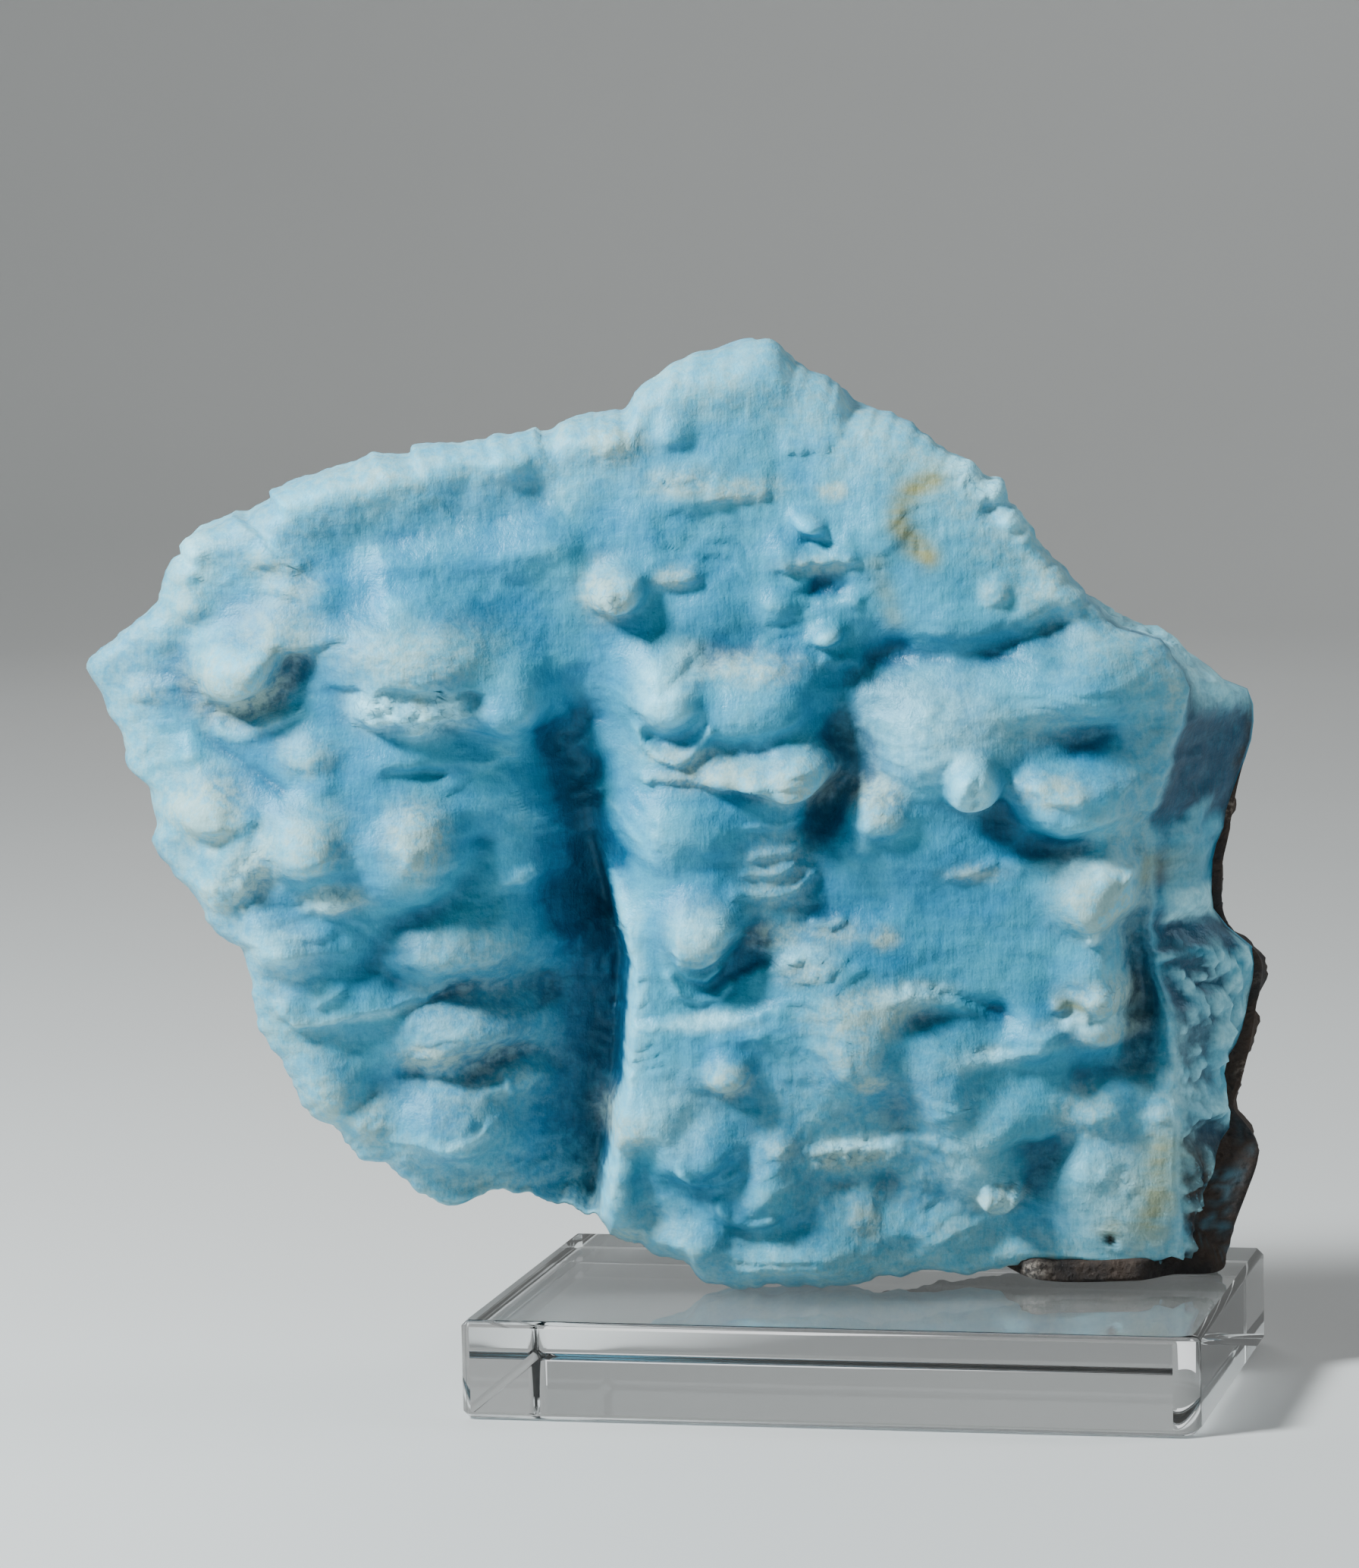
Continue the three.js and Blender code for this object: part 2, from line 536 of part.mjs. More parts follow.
// The rock is a rough slab that reaches into the crust, before the crust is cut out of it
function makeRoughRock() {
  const radius = edgeRadius(ROCK_EDGE, ROCK_MIDDLE);
  const place = (shrink, level) => (x, y) => {
    const [across, up] = onEdgeNet(x * shrink, y * shrink, ROCK_MIDDLE, radius);
    return [across, Math.max(up, REST_HEIGHT), level(across, up)];
  };
  const frontLevel = (across, up) => {
    const deep = crustBackLevel(across, up) + ROCK_REACH_INTO_CRUST;
    const toe = through(TOE_LEFT_ACROSS, across) * through(TOE_RIGHT_ACROSS, across) * through(TOE_UP, up);
    return lerp(deep, ROCK_TOE_LEVEL, toe);
  };
  const backLevel = (across, up) => {
    const faces = ROCK_BACK_FACES.map(([level, slope, rise]) => level + slope * across + rise * up);
    return Math.max(...faces) + ROCK_ROUGHNESS * unevenness(across, up);
  };
  const frontPlace = place(ROCK_FRONT_SHARE, frontLevel);
  const backPlace = place(ROCK_BACK_SHARE, backLevel);
  const wallPlace = (x, y, depth) => {
    const front = frontPlace(x, y);
    const back = backPlace(x, y);
    const angle = Math.atan2(y, x);
    const swell = ROCK_WALL_BULGE * Math.sin(HALF_TURN * depth);
    const bulge = swell + ROCK_ROUGHNESS * wallUnevenness(angle, depth);
    const across = lerp(front[0], back[0], depth) + bulge * Math.cos(angle);
    const up = lerp(front[1], back[1], depth) + bulge * Math.sin(angle);
    return [across, Math.max(up, REST_HEIGHT), lerp(front[2], back[2], depth)];
  };
  return closedSlab(ROCK_CELLS, 1, frontPlace, wallPlace, backPlace);
}

function makeBlock() {
  const halfLength = BLOCK_LENGTH / 2;
  const halfDepth = BLOCK_DEPTH / 2;
  const outline = new THREE.Shape();
  const corners = [
    [halfLength, -halfDepth, BLOCK_ROUND_CORNER, -90],
    [halfLength, halfDepth, BLOCK_SHARP_CORNER, 0],
    [-halfLength, halfDepth, BLOCK_SHARP_CORNER, 90],
    [-halfLength, -halfDepth, BLOCK_SHARP_CORNER, 180],
  ];
  for (const [x, y, radius, start] of corners) {
    const from = degToRad(start);
    outline.absarc(x - Math.sign(x) * radius, y - Math.sign(y) * radius, radius, from, from + HALF_TURN / 2);
  }
  const geometry = new THREE.ExtrudeGeometry(outline, {
    depth: BLOCK_HEIGHT - 2 * BLOCK_CHAMFER,
    bevelThickness: BLOCK_CHAMFER,
    bevelSize: BLOCK_CHAMFER,
    bevelOffset: -BLOCK_CHAMFER,
    bevelSegments: 1,
    curveSegments: BLOCK_CORNER_STEPS,
  });
  geometry.translate(0, 0, BLOCK_CHAMFER);
  return geometry;
}

const wasm = await Module();
wasm.setup();

function toSolid(geometry) {
  const bare = geometry.clone();
  bare.deleteAttribute('normal');
  bare.deleteAttribute('uv');
  const merged = mergeVertices(bare);
  return new wasm.Manifold(new wasm.Mesh({
    numProp: 3,
    vertProperties: new Float32Array(merged.attributes.position.array),
    triVerts: new Uint32Array(merged.index.array),
  }));
}

function toGeometry(solid) {
  const { vertProperties, triVerts } = solid.getMesh();
  const geometry = new THREE.BufferGeometry();
  geometry.setAttribute('position', new THREE.Float32BufferAttribute(vertProperties, 3));
  geometry.setIndex([...triVerts]);
  return geometry;
}

// The rock with the crust cut out of it, and the touching gap left all round the crust
function makeRock(crust) {
  const crustSolid = toSolid(crust);
  const gap = TOUCHING_GAP;
  const shifts = [[0, 0, 0], [0, gap, 0], [0, 0, -gap], [gap, 0, 0], [-gap, 0, 0], [0, 0, gap], [0, -gap, 0]];
  let cut = toSolid(makeRoughRock());
  for (const shift of shifts) {
    cut = cut.subtract(crustSolid.translate(shift));
  }
  const bodies = cut.decompose().sort((a, b) => b.volume() - a.volume());
  return toGeometry(bodies[0]);
}

const aragonite = new THREE.MeshStandardMaterial({ color: 0x8fc4d4, roughness: 0.5, metalness: 0 });
const brownRock = new THREE.MeshStandardMaterial({ color: 0x3a3230, roughness: 0.9, metalness: 0 });
const clearAcrylic = new THREE.MeshStandardMaterial({
  color: 0xe6eef2, roughness: 0.05, metalness: 0, transparent: true, opacity: 0.25,
});

const crustGeometry = makeCrust();

const block = new THREE.Mesh(makeBlock(), clearAcrylic);
block.name = 'display_block';

const crust = new THREE.Mesh(crustGeometry, aragonite);
crust.name = 'aragonite_crust';

const rock = new THREE.Mesh(makeRock(crustGeometry), brownRock);
rock.name = 'host_rock';

const stone = new THREE.Group();
stone.rotation.z = degToRad(STONE_TURN_DEG);
stone.add(crust, rock);

const specimen = new THREE.Group();
specimen.add(block, stone);

export default specimen;
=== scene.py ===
import itertools
import math

import bmesh
import bpy
import numpy as np
from mathutils import Matrix, Vector


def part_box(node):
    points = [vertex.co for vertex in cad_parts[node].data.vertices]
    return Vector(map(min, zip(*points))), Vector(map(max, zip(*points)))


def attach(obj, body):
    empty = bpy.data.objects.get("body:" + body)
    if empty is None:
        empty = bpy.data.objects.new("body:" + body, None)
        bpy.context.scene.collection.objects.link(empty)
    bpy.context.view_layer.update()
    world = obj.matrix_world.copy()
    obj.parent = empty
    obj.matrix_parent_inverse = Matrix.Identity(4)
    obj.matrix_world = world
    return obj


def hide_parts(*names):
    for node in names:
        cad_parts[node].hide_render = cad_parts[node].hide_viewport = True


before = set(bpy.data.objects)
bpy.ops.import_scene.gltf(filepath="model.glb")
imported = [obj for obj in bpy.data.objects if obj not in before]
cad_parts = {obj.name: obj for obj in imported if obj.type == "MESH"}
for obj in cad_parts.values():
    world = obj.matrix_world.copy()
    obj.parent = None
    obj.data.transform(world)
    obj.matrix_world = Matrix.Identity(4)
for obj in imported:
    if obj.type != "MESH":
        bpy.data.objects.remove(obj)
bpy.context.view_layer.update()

bl_info = {
    "name": "Aragonite Specimen",
    "version": (1, 0, 0),
    "blender": (4, 5, 0),
    "location": "3D View > Sidebar > Specimen",
    "description": "Blue aragonite on its rock backing, standing on a clear display block",
    "category": "Add Mesh",
}

BLOCK_LOW, BLOCK_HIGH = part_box("display_block")

# The stone is measured in millimetres in its own slab frame: across (to the right along the
# slab), up (height above the table) and out (towards the viewer).
MM = 0.001
STONE_TURN_DEG = 12.57
SLAB_MIDDLE = (-38, 108)
ROCK_MIDDLE = (10, 88)
REST_HEIGHT = 20.02

# Cells along each net's side, and the rows of each wall as (cells of the net to one of the ring, rows)
FRONT_CELLS = 264
WALL_ROWS = ((1, 12), (2, 10), (4, 3))
ROCK_CELLS = 128
ROCK_WALL_ROWS = ((1, 22),)

# How far out the broad faces lie
FACE_LEVEL = 4
CRUST_BACK_LEVEL = -16
CRUST_BACK_TOP_LEVEL = -25
THIN_SKIN_LEVEL = 1

# Smaller lumps keep more of their drawn outline, and thinner lines keep all of it
SMALL_LUMP = 6
SMALL_LUMP_BEND = 0.35
THIN_LINE = 2

CURVE_STEPS = 8
PEBBLE_CELLS = 32

# Edge of the crust's front face, clockwise from the left tip, as (across, up)
FRONT_EDGE = [
    (-158.3, 151), (-155, 154.5), (-150, 158), (-147, 160.5), (-143.5, 163.5), (-142.2, 167.5),
    (-141, 171), (-138.4, 173), (-138.2, 175.5), (-133.6, 178.6), (-130, 180), (-127, 181),
    (-124.8, 180), (-122.8, 182.2), (-120, 184), (-119.6, 186), (-115, 187.5), (-110, 189.3),
    (-105, 190.7), (-96.5, 192.5), (-91.8, 193), (-90.5, 194.2), (-84, 195), (-77, 195), (-73, 196.4),
    (-70, 197), (-66, 197.4), (-65, 196.3), (-62.5, 197), (-60, 198.6), (-55, 200), (-47.2, 201),
    (-45.4, 204), (-43.4, 205.7), (-37.8, 209.5), (-35.3, 210.8), (-32.8, 211.6), (-30.3, 211.5),
    (-25, 213.2), (-18.5, 215), (-16, 213.3), (-12.8, 210), (-7.2, 206.7), (-4.8, 205), (-2.8, 203),
    (-1.6, 200.8), (0, 199.8), (7.7, 198), (12.9, 195.2), (16.5, 192.3), (18.5, 190.7), (21.7, 190),
    (26.3, 185.8), (28.6, 185.4), (30.7, 181.7), (32.7, 179.7), (35, 175), (38, 170.4), (40, 167.3),
    (44.4, 162.6), (47, 159.6), (49.6, 156.7), (52.4, 154.6), (57.5, 153.5), (61.2, 151.5),
    (63.2, 148.3), (65.2, 145.8), (66.6, 142), (65, 137), (64, 134), (62.3, 129), (60.4, 122.7),
    (58.9, 118.7), (57.3, 115.4), (57.2, 110), (58, 104), (58.2, 92), (59.5, 82), (61.5, 77),
    (62.8, 72), (63.2, 50), (63.8, 27), (61.7, 25.8), (58.8, 24.8), (52.2, 23.8), (45.4, 24.8),
    (37, 24.8), (30.1, 24.3), (25.4, 23.3), (19.9, 21.9), (14, 22.8), (10.2, 23.1), (4, 22.2),
    (-2.1, 21.1), (-5.5, 20.6), (-12.5, 20.1), (-15.9, 20.4), (-21.3, 21), (-27.6, 20.3), (-33.4, 21),
    (-35.8, 22.1), (-37.6, 25), (-39.7, 26.5), (-45, 28), (-48, 29.9), (-51.8, 30.6), (-53.9, 31.8),
    (-56.4, 35.4), (-59.6, 36.7), (-66, 38.9), (-70.7, 40.4), (-77.4, 41.3), (-80, 40), (-84.3, 38.3),
    (-87.1, 38.6), (-90, 39.9), (-93, 41.2), (-95.5, 43.9), (-97.6, 46.6), (-99.8, 47.6),
    (-102.7, 47.8), (-105.2, 49), (-108, 53.7), (-110, 55.2), (-112.8, 57.2), (-115.8, 60.6),
    (-117.1, 62.8), (-118.2, 66.1), (-120.8, 71), (-123, 75.2), (-125.4, 80.3), (-125.8, 87.6),
    (-127, 92.9), (-130.2, 94.6), (-131.8, 95.8), (-134.6, 98.5), (-135.1, 100.6), (-137.3, 104.8),
    (-141.2, 108.3), (-142.2, 110.5), (-145, 115), (-143.9, 118.5), (-145.2, 122.5), (-146, 126),
    (-150.1, 130), (-150.6, 134.5), (-151.3, 137), (-153.9, 141.5), (-155.5, 144.8), (-158, 148.8),
]

# Edge of the crust's back face, which stands further out than the front along the broken right side
CRUST_BACK_EDGE = [
    (-153, 150), (-141, 160), (-135, 173), (-117, 183), (-92, 189), (-65, 193), (-47, 197),
    (-35, 206), (-19, 210), (-8, 203), (5, 195), (17, 188), (29, 179), (35, 169), (42, 162),
    (49, 157.5), (55, 154.6), (61.3, 151.6), (71, 146), (75.5, 142), (80, 140.3), (81.3, 137),
    (81.2, 131.5), (80, 127), (77.8, 121), (76, 115), (75.4, 111.5), (73, 105.6), (72.3, 97),
    (73.6, 92.5), (78, 89), (80.8, 86), (81.1, 81), (79.8, 76), (78.8, 71), (77, 66), (73.8, 60.4),
    (74.9, 55), (75.6, 50.5), (73, 46.6), (70, 40), (67.5, 36), (66, 31), (64, 28),
    (52, 26.8), (34, 27.5), (21, 26), (2, 26.5),
    (-14, 25), (-30, 27), (-44, 33), (-58, 42), (-82, 45), (-95, 49), (-110, 61), (-119, 75),
    (-122, 92), (-136, 108), (-141, 120), (-148, 135), (-152, 145),
]

# Edge of the rock backing: it shows past the crust along the right side and under the lower right lip
ROCK_EDGE = [
    (-66, 142), (-40, 152), (-8, 157), (24, 160), (42, 157.5), (52, 155), (60, 150.5), (70, 144),
    (76, 140), (80.5, 138), (81.7, 134.5), (81.3, 129.5), (79, 121), (77.2, 112), (76.4, 108),
    (75.5, 103), (75.4, 95), (77.4, 90), (81, 86.8), (83.4, 83.5), (83.4, 79), (82.4, 73.5),
    (80.7, 64), (79, 58), (77, 53), (80, 49), (81.5, 44.5), (78.8, 37.3), (76, 30), (74.4, 24.4),
    (72, 20.1), (56, 20.1),
    (40, 20.1), (30, 21.5), (18, 24), (0, 27), (-24, 30), (-46, 38), (-66, 52), (-74, 78),
    (-76, 104), (-73, 126),
]

# Broken faces of the rock's back: (level, across slope, up slope), of which the foremost counts
ROCK_BACK_FACES = [
    (-32, 0, 0),
    (-40, -0.3, 0.04),
    (-66, 0.06, 0.32),
    (-47, 0.16, 0.05),
    (-27, 0.05, -0.2),
    (-46, -0.16, 0.14),
]

# Broad swells of the front face: (across, up, half width, half height, turn, rise)
SWELLS = [
    (-30, 108, 112, 84, 0, 8),
    (-112, 112, 27, 56, -22, 6),
    (-12, 205, 40, 26, 0, -4),
    (-62, 84, 17, 60, 0, -5),
    (-158, 148, 18, 20, 0, -6),
    (-20, 60, 34, 38, 0, 4),
    (24, 134, 34, 24, 8, 2.5),
    (46, 36, 17, 16, 0, 4),
    (20, 173, 24, 17, -35, 3),
    (57, 86, 7, 30, 0, -7),
    (-68, 30, 26, 12, 0, -4),
]

# Lumps: (across, up, half width, half height, turn, rise, softness), where a low softness is steep-sided
LEFT_WING_LUMPS = [
    (-127, 150.5, 9.5, 8.5, 0, 8.8, 0.7),
    (-134.5, 122.5, 7, 7, 0, 6.5, 0.8),
    (-137, 134, 3.6, 3.2, 0, 2, 1),
    (-147, 146, 5, 3, 10, 1.8, 1),
    (-142, 157, 3.5, 3.5, 0, 1.2, 1),
    (-136, 163, 4.6, 3.6, 0, 2, 1),
    (-136, 174, 3.6, 3.6, 0, 2, 1),
    (-137.5, 169, 3, 2.6, 0, 1.2, 1),
    (-118, 158, 10, 8, 0, 4.5, 1),
    (-120, 173, 4, 3, 20, 2, 1),
    (-115, 171.5, 3.6, 3, 0, 1.6, 1),
    (-116, 167.5, 4.4, 3.2, 0, 1.8, 1),
    (-110, 165.5, 4.6, 3.6, 0, 2, 1),
    (-92, 153.5, 19, 10, 0, 8.8, 0.85),
    (-98.5, 143, 5.4, 5.4, 0, 5.6, 0.7),
    (-90.5, 141.5, 5.6, 5.8, 0, 6, 0.7),
    (-83.5, 143.5, 4.8, 4.8, 0, 5, 0.7),
    (-71, 143.5, 9, 8.6, 0, 7.5, 0.9),
    (-113, 115, 9.5, 9, 0, 7.5, 0.85),
    (-127.5, 109.5, 12, 4.4, 53, 2.6, 0.8),
    (-108, 103.4, 4.8, 3.2, 15, 2.8, 0.7),
    (-113, 133, 6.6, 4.4, 0, 3, 1),
    (-110, 127.5, 4.4, 3.2, 0, 1.6, 1),
    (-95, 131, 6, 3, 0, 1.6, 1),
    (-92, 111, 12, 12, 0, 5.6, 0.85),
    (-91, 117, 6, 6.6, 0, 2.4, 0.9),
    (-119, 94.5, 10, 6.6, 0, 4.4, 1),
    (-79, 92, 17, 8.4, 4, 6.5, 0.9),
    (-79, 75, 16, 7, 4, 5.8, 0.9),
    (-88.5, 69.6, 6, 2.8, 0, 2, 0.9),
    (-71, 64.5, 6.4, 4.2, 0, 3.2, 0.9),
    (-76.5, 62.5, 3, 1.8, 0, 1.6, 1),
    (-84, 55, 14.5, 10.5, 0, 6.9, 0.9),
    (-102, 57, 5, 5.6, 0, 2.5, 0.9),
    (-111, 64, 8, 12, 25, 3.8, 1),
    (-70, 44.5, 8.5, 3.2, 0, 2.4, 0.9),
    (-66, 40.2, 2.4, 1.6, 40, 1.4, 1),
    (-70, 106, 6, 3, 0, 1.6, 1),
    (-62, 93, 5, 2.5, 0, 1.2, 1),
]
CROWN_LUMPS = [
    (-49, 165.6, 5.2, 5.6, 0, 6, 0.62),
    (-52.4, 165, 4, 4, 0, 1.8, 0.8),
    (-50, 195, 7.4, 5.4, 0, 2, 1),
    (-38, 196, 4.6, 4.2, 0, 2.2, 1),
    (-37, 168, 4.4, 2.2, 0, 1.2, 1),
    (-22, 205, 12, 7, 0, 1.6, 1),
    (-11, 178, 4, 2.3, -20, 3.4, 0.75),
    (-7, 155.5, 4, 2.5, 10, 3.4, 0.75),
    (-17, 161.5, 4.6, 4.6, 0, 2.2, 1),
    (31.3, 178, 3, 2.8, 0, 2.6, 0.8),
    (27, 163.5, 3.4, 2.8, 0, 2, 0.9),
    (-34, 184, 7, 4, 0, 1.6, 1),
    (-63, 176, 8, 5, 0, 1.8, 1),
    (4, 176, 7, 9, 0, 1.6, 1),
    (-32, 160, 9, 6, 0, 1.8, 1),
]
MIDDLE_LUMPS = [
    (-40.5, 145, 9.4, 9.4, 0, 7.4, 0.8),
    (-19, 142, 17, 9.6, 0, 6, 1),
    (-26, 128.5, 6, 4, 0, 3.6, 0.8),
    (-14, 127.5, 9, 6.6, 0, 8.8, 0.62),
    (-39, 117, 14.5, 11, 0, 6.9, 1),
    (-35, 98, 8.6, 9, 0, 7, 0.75),
    (-28.8, 67.5, 5, 4.6, 0, 4.2, 0.65),
    (-46, 58, 8.6, 7.6, 0, 4, 0.9),
    (-36, 50, 9, 6, 0, 4.2, 0.9),
    (-25, 40.5, 8.4, 6, 0, 3.2, 0.9),
    (-52, 41, 5, 9.6, 0, 2.4, 1),
    (-34, 30.5, 8, 6.4, 0, 3.6, 0.95),
    (-20, 45, 7.6, 6.6, 0, 3, 1),
    (-18, 52, 4.4, 3.6, 0, 1.8, 1),
    (-1, 70, 12.5, 13, 0, 6.9, 0.95),
    (14, 62, 8.6, 10.6, 0, 4.5, 1),
    (21, 50, 11, 13, 0, 6.2, 1),
    (26.4, 41, 4.6, 4.2, 0, 4.6, 0.55),
    (-14, 27, 14, 7.4, 0, 4, 0.9),
    (-1, 37, 6, 6, 0, 1.4, 1),
    (16, 32, 8.6, 5, 0, 2.4, 1),
]
RIGHT_LUMPS = [
    (14, 133, 14, 12.5, 0, 5, 1),
    (2.4, 118.6, 7, 4.8, 0, 4, 0.85),
    (-1, 113, 4.4, 4.6, 0, 2, 1),
    (21.6, 125.2, 6.3, 6.6, 0, 7, 0.38),
    (45, 144, 20, 9.6, 10, 6.2, 1),
    (42.5, 119.5, 15, 9, 0, 5.6, 0.65),
    (36, 126.4, 3, 2, 0, 1.8, 0.9),
    (47, 101.5, 10.5, 9, 0, 6.9, 0.72),
    (45.8, 93.2, 1.5, 1.5, 0, 1.8, 0.6),
    (47, 86, 8.6, 6.6, 0, 3.8, 1),
    (49.5, 79.6, 6.6, 4.6, 0, 4.6, 0.7),
    (38.6, 79, 1.8, 1.5, 0, 1.6, 0.8),
    (33, 73, 7.4, 6.4, 0, 3, 0.9),
    (49, 72.6, 7, 3.6, -4, 2, 0.8),
    (47, 57, 8, 6.4, 0, 2.4, 1),
    (31, 56, 10.5, 6, 5, 4.2, 0.9),
    (60, 54, 3.5, 3.5, 0, 1.2, 1),
    (44, 43, 8, 6, 20, 1.6, 1),
]
LUMPS = LEFT_WING_LUMPS + CROWN_LUMPS + MIDDLE_LUMPS + RIGHT_LUMPS

# Rounded furrows and ribs along a line: (points, width, rise), where a negative rise is a furrow
FURROWS = [
    (((-57.5, 140), (-59.5, 133), (-58, 124), (-56.5, 115), (-55, 105)), 7.5, -6),
    (((3, 150), (0, 146), (-4, 139), (-3, 131), (-5, 122), (-10, 110)), 7, -4.3),
    (((-6, 122), (-8, 114)), 5.2, -3.1),
    (((11, 151.5), (18, 151.5), (26, 152.5), (40, 156)), 4.8, -2.6),
    (((-135, 147), (-128, 142.5), (-120, 145), (-116, 151)), 3.4, -2.8),
    (((-135, 137), (-118, 126)), 1.2, -1.2),
    (((-106, 175), (-86, 179), (-67, 185)), 7.5, -2.5),
    (((-96, 85.5), (-86, 84.5), (-76, 83.5), (-66, 84)), 3.8, -2.8),
    (((-80, 113), (-84, 106), (-91, 101), (-98, 96), (-103, 88)), 4.1, -2),
    (((-113, 91), (-104, 91.5), (-99, 89)), 2.8, -0.8),
    (((-122, 104), (-118, 101), (-115, 97)), 3, -1.2),
    (((-93, 67.5), (-84, 66), (-72, 70), (-64, 69)), 3, -1.9),
    (((-113, 75), (-107, 74)), 4, -1.6),
    (((-101, 64), (-92, 62), (-78, 61)), 5.2, -1.9),
    (((-31, 84), (-26, 88), (-24, 94), (-14, 98.5), (2, 102.5)), 5.3, -2.8),
    (((6, 75), (6.5, 66), (5.5, 58)), 3.8, -0.6),
    (((11, 77), (19, 76), (26, 76.5)), 3.2, -2.2),
    (((27, 117), (35, 111.5), (43, 110.5)), 4.6, -2.7),
    (((37, 127.5), (41, 129.5), (45, 133), (50, 135)), 1.8, -1),
    (((54, 94), (57, 86), (57.5, 76), (55, 67), (45, 63.5)), 4.6, -3.7),
    (((57.6, 114), (58, 104), (57.6, 96)), 2.8, -2.5),
    (((31, 52), (36, 51), (37, 44), (33, 36), (27, 31)), 5.4, -1.1),
    (((-6, 44), (2, 42)), 5.3, -2.2),
    (((-27, 54), (-25.5, 47), (-27, 33), (-34, 25.5)), 3.4, -1.3),
    (((-47, 53), (-46, 45), (-43, 37)), 2.8, -1.2),
    (((-32, 61), (-23, 60.5)), 4.1, -1.5),
    (((-9, 165.5), (-5, 165.5)), 3, -1.9),
    (((-10.5, 174.4), (-7.5, 174)), 1.6, -1.6),
    (((26.5, 180), (29, 180.5)), 1.8, -1.6),
    (((-96, 130), (-86, 128.5)), 1.4, -1.4),
    (((-94, 139.6), (-84, 140.2)), 1.8, -1.8),
    (((-119, 184), (-104, 187.5), (-86, 190.5), (-70, 193)), 6.5, 1.4),
    (((-96, 171), (-78, 172), (-60, 172)), 4.6, 1.8),
    (((-96, 164), (-88, 165)), 2.6, 1.6),
    (((18, 158), (31, 158.5), (44, 162)), 4.4, 2),
    (((-46, 169.5), (-36, 169.5)), 3, 1.2),
    (((-45, 180), (-42, 172)), 3, 1),
    (((34, 174), (43, 160.5)), 2.2, 1),
    (((-126, 121), (-131, 115), (-134, 109), (-135, 103)), 3.2, 2.4),
    (((-131, 138), (-126, 136.5), (-115, 142)), 1.2, 1.3),
    (((-131, 140), (-124, 139), (-119, 141)), 1, 1.2),
    (((-46, 138), (-45, 135), (-42, 133), (-38, 132.2), (-35, 133.5), (-31.5, 138.5)), 1.2, 2.4),
    (((-39, 95), (-36.5, 91.5), (-33.5, 90.6), (-31, 92.5)), 0.9, 1.2),
    (((-38.5, 92), (-36.5, 88), (-33, 86.2), (-30.5, 88.2)), 0.9, 1.6),
    (((-40.5, 88), (-38, 84), (-34, 82), (-30, 82.8), (-28, 85)), 0.9, 1.4),
    (((-23, 111.3), (-15, 111.4), (-12.8, 114.2)), 0.7, 1),
    (((-25, 108), (-19, 107.3), (-15, 108.6)), 0.7, 1),
    (((-27, 104.6), (-20, 103.2), (-14.5, 103.6), (-10.5, 107)), 0.8, 1.3),
    (((-24, 117.6), (-17, 116.6), (-12.5, 118)), 0.7, 0.8),
    (((-11, 97), (-7.5, 96.2), (-5, 97.3)), 0.8, 1.1),
    (((17.2, 106), (21, 106.3), (26, 108.6)), 0.9, 0.8),
    (((53.4, 105.3), (57.2, 109)), 1, 2.4),
    (((-38.5, 48.5), (-36.5, 45.6), (-32, 45), (-27.5, 47)), 1.2, 1.4),
    (((-31.5, 40.5), (-29, 37.4), (-25, 36.2), (-20.5, 37.5)), 1.2, 1.6),
    (((-37.5, 26.5), (-35.5, 23.4), (-31, 22)), 1.4, 1.8),
    (((23, 40), (24.6, 36.9), (27.4, 36.6), (29.6, 39), (30.2, 43)), 1.1, 1.8),
    (((25.6, 43.6), (28.4, 42.6)), 1.5, -2.6),
    (((-74.5, 66.5), (-73.4, 62)), 0.9, 1.2),
    (((-112, 82.4), (-107, 85)), 0.9, 0.9),
    (((62.6, 71), (62.8, 50), (62.8, 30)), 0.8, 0.3),
    (((31, 125.4), (34, 125.4), (38, 124), (43, 123.6)), 1.4, 1.8),
    (((22.6, 130), (21.5, 127.8), (22.9, 126), (21.8, 123.6)), 0.8, -1),
    (((49, 30), (49, 29.4)), 0.7, -2.4),
]

# Right-hand wall of the deep cleft, from the top down
CLEFT_WALL = (
    (-50.8, 98), (-49.6, 93), (-48.6, 89), (-49.3, 82), (-49.8, 76), (-50.6, 66), (-52.4, 60), (-53.4, 52),
    (-54.5, 46), (-56.2, 34),
)

